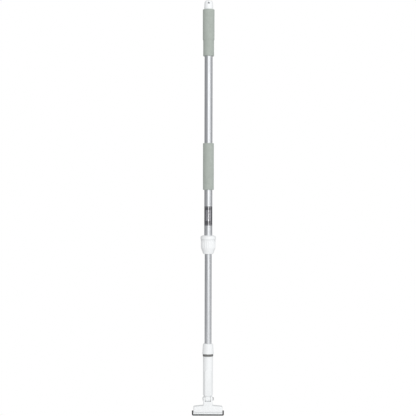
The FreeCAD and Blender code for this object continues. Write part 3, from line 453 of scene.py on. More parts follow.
def divided(points, longest, closed=True):
    """Adds points so that no run of an outline is longer than this."""
    result = []
    count = len(points)
    runs = count if closed else count - 1
    for index in range(runs):
        start = Vector(points[index])
        run = Vector(points[(index + 1) % count]) - start
        parts = max(1, math.ceil(run.length / longest))
        result += [tuple(start + run * (part / parts)) for part in range(parts)]
    if not closed:
        result.append(points[-1])
    return result


def fallen(distance, radius):
    """How far an edge has fallen away at this distance from a rounded end."""
    inside = max(0.0, radius - distance)
    return radius - math.sqrt(max(0.0, radius ** 2 - inside ** 2))


def both_ways(distances):
    """Distances from the middle, taken to both sides in order."""
    return sorted({side * distance for distance in distances for side in (-1, 1)})


def both_sides(corners):
    """Adds the mirror image of half an outline, in the order that closes it."""
    return corners + [(-across, up, radius) for across, up, radius in reversed(corners)]


def on_cylinder(angle, radius, height):
    return Vector((radius * math.cos(angle), radius * math.sin(angle), height))


def new_piece(name, shape, material=None):
    """Makes an object from a bmesh, with its faces outwards."""
    bmesh.ops.recalc_face_normals(shape, faces=shape.faces)
    mesh = bpy.data.meshes.new(name)
    shape.to_mesh(mesh)
    shape.free()
    piece = bpy.data.objects.new(name, mesh)
    bpy.context.scene.collection.objects.link(piece)
    if material:
        mesh.materials.append(material)
    return piece


def turned(name, outline, material=None, segments=96, closed=True):
    """Turns an outline of (radius, height) points about Z, with a UV map in turns and metres."""
    shape = bmesh.new()
    uv_layer = shape.loops.layers.uv.new("UVMap")
    rings = []
    travel = [0.0]
    for index, (radius, height) in enumerate(outline):
        if radius < TINY:
            rings.append([shape.verts.new((0, 0, height))] * segments)
        else:
            angles = [FULL_TURN * step / segments for step in range(segments)]
            rings.append([shape.verts.new(on_cylinder(angle, radius, height)) for angle in angles])
        if index:
            before = Vector(outline[index - 1])
            travel.append(travel[-1] + (Vector((radius, height)) - before).length)
    runs = [(index, index + 1, travel[index], travel[index + 1]) for index in range(len(outline) - 1)]
    if closed:
        last = len(outline) - 1
        closing = (Vector(outline[0]) - Vector(outline[last])).length
        runs.append((last, 0, travel[last], travel[last] + closing))
    for first, second, v_first, v_second in runs:
        for column in range(segments):
            following = (column + 1) % segments
            u_left, u_right = column / segments, (column + 1) / segments
            corners = {}
            corners[rings[first][column]] = (u_left, v_first)
            corners.setdefault(rings[first][following], (u_right, v_first))
            corners.setdefault(rings[second][following], (u_right, v_second))
            corners.setdefault(rings[second][column], (u_left, v_second))
            if len(corners) < 3:
                continue
            face = shape.faces.new(list(corners))
            for loop in face.loops:
                loop[uv_layer].uv = corners[loop.vert]
    return new_piece(name, shape, material)


def lofted(name, sections, material=None):
    """Skins a row of closed sections with the same number of points, and closes both ends."""
    shape = bmesh.new()
    rows = [[shape.verts.new(point) for point in section] for section in sections]
    count = len(rows[0])
    for row, following in zip(rows, rows[1:]):
        for index in range(count):
            onward = (index + 1) % count
            shape.faces.new((row[index], row[onward], following[onward], following[index]))
    shape.faces.new(rows[0])
    shape.faces.new(rows[-1])
    return new_piece(name, shape, material)


def settle(piece):
    """Turns a piece and its modifiers into one plain mesh."""
    graph = bpy.context.evaluated_depsgraph_get()
    mesh = bpy.data.meshes.new_from_object(piece.evaluated_get(graph))
    old = piece.data
    piece.modifiers.clear()
    piece.data = mesh
    bpy.data.meshes.remove(old)


def soften(piece, width, steps=3, angle=35):
    """Rounds a piece's sharp edges."""
    bevel = piece.modifiers.new("rounding", "BEVEL")
    bevel.width = width
    bevel.segments = steps
    bevel.limit_method = "ANGLE"
    bevel.angle_limit = math.radians(angle)
    bevel.use_clamp_overlap = True
    settle(piece)


def combine(piece, tools, operation):
    """Joins pieces to this one, or cuts them out of it, and deletes them."""
    for tool in tools:
        boolean = piece.modifiers.new("boolean", "BOOLEAN")
        boolean.operation = operation
        boolean.solver = "EXACT"
        boolean.object = tool
    settle(piece)
    for tool in tools:
        bpy.data.objects.remove(tool)


def smooth(piece, angle):
    """Shades a piece smooth, except across edges sharper than this."""
    shape = bmesh.new()
    shape.from_mesh(piece.data)
    bmesh.ops.remove_doubles(shape, verts=shape.verts, dist=SAME_POINT)
    bmesh.ops.dissolve_degenerate(shape, edges=shape.edges, dist=SAME_POINT / 2)
    bmesh.ops.recalc_face_normals(shape, faces=shape.faces)
    shape.to_mesh(piece.data)
    shape.free()
    piece.data.shade_smooth()
    piece.data.set_sharp_from_angle(angle=math.radians(angle))


def turn_mesh(piece, matrix):
    piece.data.transform(matrix)
    piece.data.update()
    return piece


def block(name, half_x, half_y, bottom, top):
    """A plain block about the Z axis."""
    corners = ((-half_x, -half_y), (half_x, -half_y), (half_x, half_y), (-half_x, half_y))
    return lofted(name, [[Vector((x, y, z)) for x, y in corners] for z in (bottom, top)])


def pin_along(name, axis, centre, radius, length):
    """A round cutter along X or Y."""
    half = length / 2
    outline = [(0, -half), (radius, -half), (radius, half), (0, half)]
    cutter = turned(name, outline, segments=48, closed=False)
    tilt = Matrix.Rotation(math.pi / 2, 4, "Y" if axis == "X" else "X")
    return turn_mesh(cutter, Matrix.Translation(centre) @ tilt)


def take_place(piece, body, node):
    """Makes a finished piece stand for its CAD node on that node's body."""
    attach(piece, body)
    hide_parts(node)


def dress(node, material):
    """Gives a CAD node a finish without touching its mesh."""
    item = frame["nodes"][node]
    for holder in item.material_slots:
        holder.link = "OBJECT"
        holder.material = material


# -------------------------------------------------------- geometry node trees

class ShapeTree(Nodes):
    """A geometry tree with named sizes as its inputs."""

    def __init__(self, name, **sizes):
        super().__init__(bpy.data.node_groups.new(name, "GeometryNodeTree"))
        new_socket = self.tree.interface.new_socket
        new_socket("Geometry", in_out="INPUT", socket_type="NodeSocketGeometry")
        for label, default in sizes.items():
            kind = "NodeSocketInt" if isinstance(default, int) else "NodeSocketFloat"
            new_socket(label, in_out="INPUT", socket_type=kind).default_value = default
        new_socket("Geometry", in_out="OUTPUT", socket_type="NodeSocketGeometry")
        self.given = self.add("NodeGroupInput").outputs

    def end(self, geometry, material):
        """Ends the tree in Realize Instances and Set Material."""
        real = self.output("GeometryNodeRealizeInstances", {"Geometry": geometry})
        painted = self.output("GeometryNodeSetMaterial", {"Geometry": real, "Material": material})
        self.add("NodeGroupOutput", {0: painted})
        return self.tree


def run_tree(piece, tree, **sizes):
    """Applies a tree to a piece, with each input set by its socket's identifier."""
    modifier = piece.modifiers.new(tree.name, "NODES")
    modifier.node_group = tree
    for item in tree.interface.items_tree:
        if item.in_out == "INPUT" and item.name in sizes:
            modifier[item.identifier] = sizes[item.name]
    settle(piece)


def flute_tree(material):
    """Sinks even flutes into the outside of a turned piece."""
    tree = ShapeTree(
        "grip_flutes", Count=20, Depth=0.7 * MM, Outside=18 * MM, Bottom=0.0, Top=1.0, Fade=2 * MM)
    given = tree.given
    place = tree.add("ShaderNodeSeparateXYZ", {0: tree.output("GeometryNodeInputPosition")}).outputs
    angle = tree.maths("ARCTAN2", place["Y"], place["X"])
    wave = tree.maths("COSINE", tree.maths("MULTIPLY", angle, given["Count"]))
    groove = tree.ramp(wave, 0.1, 1.0, kind="SMOOTHERSTEP")
    above = tree.maths("SUBTRACT", place["Z"], given["Bottom"])
    below = tree.maths("SUBTRACT", given["Top"], place["Z"])
    window = tree.ramp(tree.maths("MINIMUM", above, below), 0.0, given["Fade"])
    flat = tree.output("ShaderNodeCombineXYZ", {"X": place["X"], "Y": place["Y"]})
    radius = tree.add("ShaderNodeVectorMath", {0: flat}, operation="LENGTH").outputs["Value"]
    outside = tree.maths("GREATER_THAN", radius, given["Outside"])
    depth = tree.maths("MULTIPLY", tree.maths("MULTIPLY", groove, window), given["Depth"])
    depth = tree.maths("MULTIPLY", tree.maths("MULTIPLY", depth, outside), -1.0)
    outward = tree.output("ShaderNodeVectorMath", {0: flat}, operation="NORMALIZE")
    offset = tree.output("ShaderNodeVectorMath", {0: outward, "Scale": depth}, operation="SCALE")
    sunk = tree.output("GeometryNodeSetPosition", {"Geometry": given["Geometry"], "Offset": offset})
    return tree.end(sunk, material)


def thread_tree(material):
    """Adds a thread's ridge round a turned piece."""
    tree = ShapeTree(
        "thread_ridge", Radius=10 * MM, Ridge=0.8 * MM, Start=0.0, Rise=10 * MM, Turns=3.0)
    given = tree.given
    spiral = tree.output("GeometryNodeCurveSpiral", {
        "Resolution": 72, "Rotations": given["Turns"], "Start Radius": given["Radius"],
        "End Radius": given["Radius"], "Height": given["Rise"]})
    lift = tree.output("ShaderNodeCombineXYZ", {"Z": given["Start"]})
    placed = tree.output("GeometryNodeTransform", {"Geometry": spiral, "Translation": lift})
    profile = tree.output("GeometryNodeCurvePrimitiveCircle", {"Resolution": 8, "Radius": given["Ridge"]})
    ridge = tree.output("GeometryNodeCurveToMesh", {
        "Curve": placed, "Profile Curve": profile, "Fill Caps": True})
    joined = tree.add("GeometryNodeJoinGeometry", {0: given["Geometry"]})
    tree.tree.links.new(ridge, joined.inputs[0])
    return tree.end(joined.outputs[0], material)


def pair_tree(material):
    """Repeats a small part along X, evenly about the middle."""
    tree = ShapeTree("spaced_pair", Count=2, Apart=50 * MM)
    count, apart = tree.given["Count"], tree.given["Apart"]
    reach = tree.maths("MULTIPLY", tree.maths("SUBTRACT", count, 1.0), apart)
    start = tree.output("ShaderNodeCombineXYZ", {"X": tree.maths("MULTIPLY", reach, -0.5)})
    step = tree.output("ShaderNodeCombineXYZ", {"X": apart})
    line = tree.output("GeometryNodeMeshLine", {"Count": count, "Start Location": start, "Offset": step})
    copies = tree.output("GeometryNodeInstanceOnPoints", {
        "Points": line, "Instance": tree.given["Geometry"]})
    return tree.end(copies, material)


# ----------------------------------------------------------------- foam grips

BROAD_WAVES, FINE_WAVES = 45.0, 260.0


def foam_skin(piece, inner_limit, amount):
    """Strays the outer skin a little from a true cylinder, the same way each time."""
    for vertex in piece.data.vertices:
        flat = Vector((vertex.co.x, vertex.co.y, 0))
        radius = flat.length
        if radius < inner_limit:
            continue
        broad = noise.noise(vertex.co * BROAD_WAVES)
        fine = noise.noise(vertex.co * FINE_WAVES)
        vertex.co += flat.normalized() * amount * (0.8 * broad + 0.35 * fine)


def foam_grip(name, corners, inner_limit):
    look = settings().foam
    outline = divided(rounded(corners, steps=6), 1.4 * MM)
    grip = turned(name, outline, grip_foam(name + "_foam"), segments=112)
    foam_skin(grip, inner_limit, look.unevenness)
    smooth(grip, 60)
    take_place(grip, "upper_pole", name)


class SQUEEGEE_OT_foam_grips(bpy.types.Operator):
    """Makes the two foam grips"""
    bl_idname = "squeegee.foam_grips"
    bl_label = "Foam Grips"

    def execute(self, context):
        edge = settings().foam.end_rounding
        lip, step_rounding = 0.4 * MM, 2.5 * MM
        middle_low, middle_high = low("middle_grip").z, high("middle_grip").z
        outside = high("middle_grip").x
        foam_grip("middle_grip", [
            (TUBE, middle_low, lip), (outside, middle_low, edge),
            (outside, middle_high, edge), (TUBE, middle_high, lip)], TUBE + 1 * MM)
        top_low = low("top_grip").z
        stretched = high("top_grip").x
        step = 1.6 * MM
        foam_grip("top_grip", [
            (TUBE, top_low, lip), (outside, top_low, edge),
            (outside, SKIRT_END - step, step_rounding), (stretched, SKIRT_END + step, step_rounding),
            (stretched, SHOULDER, edge), (SKIRT, SHOULDER, lip),
            (SKIRT, SKIRT_END, 0), (TUBE, SKIRT_END, 0)], SKIRT + 1 * MM)
        return {"FINISHED"}


# ---------------------------------------------------------------- hanging cap

class SQUEEGEE_OT_hanging_cap(bpy.types.Operator):
    """Makes the white cap with its hanging hole"""
    bl_idname = "squeegee.hanging_cap"
    bl_label = "Hanging Cap"

    def execute(self, context):
        top = high("hanging_cap").z
        base = high("hanging_cap").x
        crown = base - 1.25 * MM
        bore = TUBE + SNUG
        floor = high("upper_tube").z + 1 * MM
        corners = [
            (0, floor, 0), (bore, floor, 0.5 * MM), (bore, SKIRT_END, 0.3 * MM),
            (SKIRT, SKIRT_END, 0.3 * MM), (SKIRT, SHOULDER, 0), (base, SHOULDER, 0.4 * MM),
            (crown, top, 6 * MM), (0, top, 0)]
        outline = divided(rounded(corners, closed=False, steps=10), 3 * MM, closed=False)
        cap = turned("hanging_cap", outline, white_plastic("cap_moulding"), closed=False)
        hole, hole_drop, reach, flare = 2.75 * MM, 8 * MM, 14 * MM, 0.8 * MM
        mouth = base - flare
        cutter_corners = [
            (0, -reach, 0), (hole + 3 * flare, -reach, 0), (hole, 1.2 * flare - mouth, 2.5 * flare),
            (hole, mouth - 1.2 * flare, 2.5 * flare), (hole + 3 * flare, reach, 0), (0, reach, 0)]
        cutter_outline = rounded(cutter_corners, closed=False, steps=6)
        cutter = turned("hole_cutter", cutter_outline, segments=64, closed=False)
        centre = Vector((0, 0, top - hole_drop))
        turn_mesh(cutter, Matrix.Translation(centre) @ Matrix.Rotation(math.pi / 2, 4, "X"))
        combine(cap, [cutter], "DIFFERENCE")
        smooth(cap, 40)
        take_place(cap, "upper_pole", "hanging_cap")
        return {"FINISHED"}


# ------------------------------------------------------------ tubes and inside

class SQUEEGEE_OT_tubes(bpy.types.Operator):
    """Finishes the tubes and the parts inside them"""
    bl_idname = "squeegee.tubes"
    bl_label = "Tubes and Inner Parts"

    def execute(self, context):
        inner_parts = (
            "tube_bush", "guide_plug", "guide_ring", "spigot", "lock_collet", "pivot_washers")
        for material, nodes in (
                (tube_metal(), ("upper_tube", "lower_tube")),
                (plated_steel("pin_plate"), ("cap_pin", "spigot_pin")),
                (natural_nylon(), inner_parts)):
            for node in nodes:
                dress(node, material)
        return {"FINISHED"}


# ---------------------------------------------------------------------- label

class SQUEEGEE_OT_pole_label(bpy.types.Operator):
    """Makes the printed film, which laps over itself at the back"""
    bl_idname = "squeegee.pole_label"
    bl_label = "Pole Label"

    def execute(self, context):
        look = settings().label
        bottom, top = low("pole_label").z, high("pole_label").z
        lap = look.overlap / TUBE
        steps = 128
        lift_start, lift_run = 0.90, 0.06
        sections = []
        for step in range(steps + 1):
            share = step / steps
            angle = math.pi / 2 - lap / 2 + share * (FULL_TURN + lap)
            lift = look.film * min(1.0, max(0.0, (share - lift_start) / lift_run))
            inner = TUBE + lift
            outer = inner + look.film
            sections.append([
                on_cylinder(angle, inner, bottom), on_cylinder(angle, outer, bottom),
                on_cylinder(angle, outer, top), on_cylinder(angle, inner, top)])
        label = lofted("pole_label", sections, printed_film())
        uv_layer = label.data.uv_layers.new(name="UVMap")
        for loop in label.data.loops:
            row = loop.vertex_index // 4
            height = (label.data.vertices[loop.vertex_index].co.z - bottom) / (top - bottom)
            uv_layer.data[loop.index].uv = (row / steps, height)
        smooth(label, 40)
        take_place(label, "upper_pole", "pole_label")
        return {"FINISHED"}


# ----------------------------------------------------------------- twist lock

class SQUEEGEE_OT_twist_lock(bpy.types.Operator):
    """Makes the lock body with its thread and the fluted lock nut"""
    bl_idname = "squeegee.twist_lock"
    bl_label = "Twist Lock"

    def execute(self, context):
        look = settings().lock
        self.make_body(look)
        self.make_nut(look)
        return {"FINISHED"}

    def make_body(self, look):
        material = white_plastic("lock_body_moulding")
        outer, bore = high("lock_body").x, TUBE + SNUG
        thread = outer - 4 * MM
        root = thread - look.thread_depth
        top, bottom = high("lock_body").z, low("lock_body").z
        rim_bottom = high("lock_nut").z + 0.3 * MM
        bush_bottom = low("tube_bush").z
        mouth, throat = high("lock_collet").x - 0.5 * MM, LOWER_TUBE + 0.5 * MM
        corners = [
            (bore, top, 0.3 * MM), (bore + 2.2 * MM, top, 0.3 * MM),
            (bore + 2.6 * MM, top - 0.7 * MM, 0.3 * MM), (outer - 3.2 * MM, top - 0.7 * MM, 0.6 * MM),
            (outer, top - 3.4 * MM, 1.4 * MM),
            (outer, rim_bottom, 0.5 * MM), (root, rim_bottom, 0.3 * MM), (root, bottom, 0.4 * MM),
            (mouth, bottom, 0.2 * MM), (throat, bush_bottom, 0), (bore, bush_bottom, 0)]
        outline = divided(rounded(corners), 4 * MM)
        body = turned("lock_body", outline, material, segments=128)
        turns = 4.0
        run_tree(
            body, thread_tree(material), Radius=root - SNUG, Ridge=look.thread_depth,
            Start=bottom + 2.5 * MM, Rise=turns * look.thread_pitch, Turns=turns)
        smooth(body, 40)
        take_place(body, "upper_pole", "lock_body")

    def make_nut(self, look):
        material = white_plastic("lock_nut_moulding")
        outer = high("lock_nut").x
        bottom, top = low("lock_nut").z, high("lock_nut").z
        nose = LOWER_TUBE + 4 * MM
        passage = LOWER_TUBE + 0.3 * MM
        seat = low("lock_collet").z
        shoulder = seat + 3 * MM
        pocket = high("lock_collet").x + 0.2 * MM
        thread = high("lock_body").x - 3.8 * MM
        taper_top = bottom + 17.3 * MM
        corners = [
            (passage, bottom, 0.4 * MM), (nose, bottom, 1.2 * MM), (outer, taper_top, 9 * MM),
            (outer, top, 1.2 * MM), (thread, top, 0.4 * MM), (thread, shoulder, 0),
            (pocket, shoulder, 0), (pocket, seat, 0), (passage, seat, 0)]
        outline = divided(rounded(corners, steps=8), 1.2 * MM)
        faces_per_flute = 14
        nut = turned("lock_nut", outline, material, segments=look.flutes * faces_per_flute)
        run_tree(
            nut, flute_tree(material), Count=look.flutes, Depth=look.flute_depth,
            Outside=thread + 1 * MM, Bottom=taper_top - 3 * MM, Top=top - 2.6 * MM, Fade=3.2 * MM)
        smooth(nut, 40)
        take_place(nut, "lock_nut", "lock_nut")


# ------------------------------------------------------- coupling nut and seal

class SQUEEGEE_OT_coupling(bpy.types.Operator):
    """Makes the cone-shaped coupling nut and the ridged seal"""
    bl_idname = "squeegee.coupling"
    bl_label = "Coupling Nut and Seal"

    def execute(self, context):
        self.make_nut()
        self.make_seal()
        return {"FINISHED"}

    def make_nut(self):
        bottom, top = low("coupling_nut").z, high("coupling_nut").z
        lower = NECK_RADIUS + 3.8 * MM
        upper = NECK_RADIUS + 1.8 * MM
        thread = NECK_RADIUS + 0.2 * MM
        passage = LOWER_TUBE + 0.2 * MM
        shoulder = low("lower_tube").z + 0.1 * MM
        corners = [
            (thread, bottom, 0.4 * MM), (lower, bottom, 0.7 * MM),
            (lower - 0.1 * MM, bottom + 2.4 * MM, 0.4 * MM),
            (lower - 0.55 * MM, bottom + 3.0 * MM, 0.4 * MM), (upper, top, 4.4 * MM),
            (passage, top, 0.5 * MM), (passage, shoulder, 0), (thread, shoulder, 0)]
        outline = divided(rounded(corners, steps=8), 2.5 * MM)
        nut = turned("coupling_nut", outline, white_plastic("coupling_moulding"), segments=128)
        smooth(nut, 40)
        take_place(nut, "coupling_nut", "coupling_nut")

    def make_seal(self):
        look = settings().rubber
        bottom, top = low("coupling_seal").z, high("coupling_seal").z
        outer = high("coupling_seal").x
        inner = NECK_RADIUS + SNUG
        pitch = (top - bottom) / look.seal_ridges
        gap, rounding = 0.14 * pitch, 0.55 * MM
        root = outer - 0.9 * MM
        corners = [(inner, bottom, 0.2 * MM), (outer, bottom, rounding)]
        for ridge in range(1, look.seal_ridges):
            valley = bottom + ridge * pitch
            corners += [
                (outer, valley - gap, rounding), (root, valley - gap / 2, 0.12 * MM),
                (root, valley + gap / 2, 0.12 * MM), (outer, valley + gap, rounding)]
        corners += [(outer, top, rounding), (inner, top, 0.2 * MM)]
        seal = turned("coupling_seal", rounded(corners, steps=6),
                      moulded_rubber("seal_rubber", look.seal_colour), segments=112)
        smooth(seal, 40)
        take_place(seal, "handle", "coupling_seal")


# --------------------------------------------------------------------- handle

def tongue_or_ear(name, inside, outside, half_width, base, centre, flare=0.0, crown=0.0):
    """A slab across X with a half round end about a centre; its outer face may be
    rounded off all the way round (crown) and flared at the foot."""
    rises = centre > base
    across_steps, up_steps = 28, 22

    def point(side, across, up):
        bearing = math.pi * (across / across_steps - 0.5)
        y = half_width * math.sin(bearing)
        round_end = half_width * math.cos(bearing)
        end = centre + round_end if rises else centre - round_end
        z = base + (end - base) * up / up_steps
        x = outside if side else inside
        if side and flare and abs(z - base) < flare:
            x += flare - math.sqrt(flare ** 2 - (flare - abs(z - base)) ** 2)
        beyond = z - centre if rises == (z > centre) else 0.0
        into_rim = min(crown, crown - half_width + math.hypot(y, beyond))
        if side and into_rim > 0:
            x -= crown - math.sqrt(crown ** 2 - into_rim ** 2)
        return Vector((x, y, z))

    shape = bmesh.new()
    grids = []
    for side in (0, 1):
        grid = [[shape.verts.new(point(side, across, up)) for up in range(up_steps + 1)]
                for across in range(across_steps + 1)]
        for across in range(across_steps):
            for up in range(up_steps):
                shape.faces.new((
                    grid[across][up], grid[across + 1][up], grid[across + 1][up + 1], grid[across][up + 1]))
        grids.append(grid)

    def border(grid):
        down = [grid[across][0] for across in range(across_steps + 1)]
        right = [grid[across_steps][up] for up in range(1, up_steps + 1)]
        back = [grid[across][up_steps] for across in range(across_steps - 1, -1, -1)]
        left = [grid[0][up] for up in range(up_steps - 1, 0, -1)]
        return down + right + back + left

    inner_rim, outer_rim = border(grids[0]), border(grids[1])
    for index in range(len(inner_rim)):
        onward = (index + 1) % len(inner_rim)
        shape.faces.new((inner_rim[index], inner_rim[onward], outer_rim[onward], outer_rim[index]))
    return new_piece(name, shape)


class SQUEEGEE_OT_handle(bpy.types.Operator):
    """Makes the handle with its two arched panels, its neck and its tongue"""
    bl_idname = "squeegee.handle"
    bl_label = "Handle"

    def make_panel(self, name, side):
        """A raised panel with an arched top and sloping sides, on the front or the back."""
        face, depth, length = high("handle").y, 7.3 * MM, 72 * MM
        half_width, spread = 7.7 * MM, 3.9 * MM
        centre = HANDLE_BOTTOM + length - half_width

        def outline(half, y):
            points = [Vector((half, y, HANDLE_BOTTOM))]
            for angle in range(0, 181, 5):
                bearing = math.radians(angle)
                points.append(Vector((half * math.cos(bearing), y, centre + half * math.sin(bearing))))
            points.append(Vector((-half, y, HANDLE_BOTTOM)))
            return points

        foot = outline(half_width + spread, side * (face - depth))
        front = outline(half_width, side * face)
        panel = lofted(name, [foot, front] if side < 0 else [front, foot])
        soften(panel, 0.9 * MM)
        return panel

    def execute(self, context):
        material = white_plastic("handle_moulding")
        bore, floor = 9 * MM, HANDLE_BOTTOM + 13.5 * MM
        neck_top = low("lower_tube").z - 3.05 * MM
        thread_root = NECK_RADIUS - 0.7 * MM
        corners = [
            (0, HANDLE_BOTTOM, 0), (HANDLE_RADIUS, HANDLE_BOTTOM, 1.6 * MM),
            (HANDLE_RADIUS, HANDLE_TOP, 0.8 * MM), (NECK_RADIUS, HANDLE_TOP, 0.2 * MM),
            (NECK_RADIUS, HANDLE_TOP + 1.5 * MM, 0), (thread_root, HANDLE_TOP + 2.2 * MM, 0),
            (thread_root, neck_top, 0.4 * MM), (bore, neck_top, 0.4 * MM),
            (bore, floor, 1.5 * MM), (0, floor, 0)]
        outline = divided(rounded(corners, closed=False, steps=6), 1.0 * MM, closed=False)
        body = turned("handle", outline, material, segments=144, closed=False)
        tongue = tongue_or_ear(
            "tongue", -TONGUE_SIDE, TONGUE_SIDE, 8.5 * MM, HANDLE_BOTTOM + 2.4 * MM, PIVOT.z)
        soften(tongue, 0.5 * MM)
        panels = [self.make_panel("front_panel", -1), self.make_panel("back_panel", 1)]
        combine(body, [tongue, *panels], "UNION")
        keyway_depth, keyway_side, keyway_width = 25 * MM, 10.1 * MM, 3.3 * MM
        keyways = block(
            "keyways", keyway_side, keyway_width / 2, neck_top - keyway_depth, neck_top + keyway_depth)
        pivot_cutter = pin_along("pivot_cutter", "X", PIVOT, PIVOT_HOLE, 40 * MM)
        combine(body, [pivot_cutter, keyways], "DIFFERENCE")
        thread_start, thread_pitch = HANDLE_TOP + 3.5 * MM, 6 * MM
        rise = neck_top - 1.5 * MM - thread_start
        run_tree(
            body, thread_tree(material), Radius=thread_root - SNUG, Ridge=0.7 * MM,
            Start=thread_start, Rise=rise, Turns=rise / thread_pitch)
        smooth(body, 40)
        take_place(body, "handle", "handle")
        return {"FINISHED"}


# ----------------------------------------------------------------------- head

class SQUEEGEE_OT_head_body(bpy.types.Operator):
    """Makes the hood and the fork of the head"""
    bl_idname = "squeegee.head_body"
    bl_label = "Head"

    def hood_sections(self):
        end = high("head_body").x
        side = high("head_body").y
        bottom = low("head_body").z
        end_top, level_top = bottom + 14 * MM, bottom + 16.5 * MM
        level = EAR_OUTSIDE + 2 * MM
        plan_corner, crown = 4 * MM, 2.6 * MM
        groove, groove_top = high("blade_channel").y + 0.1 * MM, bottom + 4.1 * MM
        bends = [math.sin(math.radians(angle)) for angle in (0, 15, 30, 45, 60, 72, 82, 90)]
        slope_run = end - plan_corner - level
        stations = [0.0, 6 * MM, level] + [level + share * slope_run for share in (0.25, 0.5, 0.75)]
        stations += [end - plan_corner + plan_corner * bend for bend in bends]
        sections = []
        for x in both_ways(stations):
            from_end = end - abs(x)
            width = side - fallen(from_end, plan_corner)
            slope = max(0.0, abs(x) - level) / (end - level)
            top = level_top + (end_top - level_top) * slope - fallen(from_end, crown)
            outline = [(-width, bottom), (-groove, bottom), (-groove, groove_top), (groove, groove_top),
                       (groove, bottom), (width, bottom)]
            for edge, angles in ((width - crown, range(0, 91, 15)), (crown - width, range(90, 181, 15))):
                for bearing in map(math.radians, angles):
                    outline.append((
                        edge + crown * math.cos(bearing), top - crown + crown * math.sin(bearing)))
            sections.append([Vector((x, y, z)) for y, z in outline])
        return sections

    def execute(self, context):
        bottom = low("head_body").z
        hood = lofted("head_body", self.hood_sections(), white_plastic("head_moulding"))
        foot = bottom + 15 * MM
        lip = PIVOT.z - 5.87 * MM
        flare, crown = 3.5 * MM, 3.8 * MM
        right, left = [
            tongue_or_ear(name, EAR_INSIDE, EAR_OUTSIDE, EAR_RADIUS, foot, PIVOT.z, flare, crown)
            for name in ("right_ear", "left_ear")]
        turn_mesh(left, Matrix.Scale(-1, 4, Vector((1, 0, 0))))
        left.data.flip_normals()
        for ear in (right, left):
            soften(ear, 0.9 * MM, steps=4, angle=50)
        width = EAR_INSIDE + 1.5 * MM
        cradle = 9.3 * MM
        lip_side = 5.8 * MM
        turn = math.asin(lip_side / cradle)
        bridge_corners = [
            (-EAR_RADIUS, foot, 0), (EAR_RADIUS, foot, 0), (EAR_RADIUS, lip, 0.7 * MM)]
        half_steps = 6
        for step in range(2 * half_steps + 1):
            bearing = turn * (1 - step / half_steps)
            bridge_corners.append((cradle * math.sin(bearing), PIVOT.z - cradle * math.cos(bearing), 0))
        bridge_corners.append((-EAR_RADIUS, lip, 0.7 * MM))
        bridge_outline = rounded(bridge_corners)
        bridge = lofted("bridge", [[Vector((x, y, z)) for y, z in bridge_outline] for x in (-width, width)])
        combine(hood, [right, left, bridge], "UNION")
        cutters = [pin_along("pivot_cutter", "X", PIVOT, PIVOT_HOLE, 60 * MM)]
        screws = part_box("head_screws")
        seat, screw_radius = high("head_body").y, 2.8 * MM
        for across in (screws[0].x + screw_radius, screws[1].x - screw_radius):
            centre = Vector((across, seat, (screws[0].z + screws[1].z) / 2))
            cutters.append(pin_along("recess_cutter", "Y", centre, 2.9 * MM, 5.2 * MM))
        combine(hood, cutters, "DIFFERENCE")
        smooth(hood, 38)
        take_place(hood, "head", "head_body")
        return {"FINISHED"}


class SQUEEGEE_OT_blade(bpy.types.Operator):
    """Makes the white channel and the rubber blade"""
    bl_idname = "squeegee.blade"
    bl_label = "Channel and Blade"

    def execute(self, context):
        self.make_channel()
        self.make_blade()
        return {"FINISHED"}

    def make_channel(self):
        end, side = high("blade_channel").x, high("blade_channel").y
        bottom, tenon_top = low("blade_channel").z, high("blade_channel").z
        roof = tenon_top - 5 * MM
        slot, inner = 1.5 * MM, high("rubber_blade").y + 0.2 * MM
        slot_top, inner_top = bottom + 4.4 * MM, high("rubber_blade").z + 0.2 * MM
        chamfer = 0.35 * MM
        corners = both_sides([
            (inner, inner_top, 0.3 * MM), (inner, slot_top, 0.2 * MM), (slot, slot_top, 0.2 * MM),
            (slot, bottom, 0.4 * MM), (side, bottom, 0.9 * MM), (side, bottom + 6.6 * MM, 0.25 * MM),
            (side - chamfer, bottom + 6.9 * MM, 0.25 * MM), (side - chamfer, roof, 0.2 * MM)])
        outline = rounded(corners, steps=4)
        sections = []
        for x, inset in ((-end, chamfer), (chamfer - end, 0), (end - chamfer, 0), (end, chamfer)):
            sections.append([Vector((x, y * (1 - inset / side), z)) for y, z in outline])
        channel = lofted("blade_channel", sections, white_plastic("channel_moulding"))
        smooth(channel, 38)
        take_place(channel, "head", "blade_channel")

    def make_blade(self):
        end, bead = high("rubber_blade").x, high("rubber_blade").y
        top = high("rubber_blade").z
        lip_top = low("blade_channel").z
        web, edge = 1.3 * MM, 1.0 * MM
        bead_bottom = top - 5 * MM
        corner = 4 * MM
        bends = [math.sin(math.radians(angle)) for angle in range(0, 91, 10)]
        sections = []
        for x in both_ways([0.0] + [end - corner + corner * bend for bend in bends]):
            lift = fallen(end - abs(x), corner)
            tip = edge + (web - edge) * lift / lip_top
            corners = both_sides([
                (tip, lift, 0.25 * MM), (web, lip_top + 0.2 * MM, 0), (web, bead_bottom, 0.25 * MM),
                (bead, bead_bottom, 0.6 * MM), (bead, top, 0.9 * MM)])
            sections.append([Vector((x, y, z)) for y, z in rounded(corners, steps=4)])
        rubber = moulded_rubber("blade_rubber", settings().rubber.blade_colour, extruded=True)
        blade = lofted("rubber_blade", sections, rubber)
        smooth(blade, 38)
        take_place(blade, "head", "rubber_blade")


# ------------------------------------------------------------------ fasteners

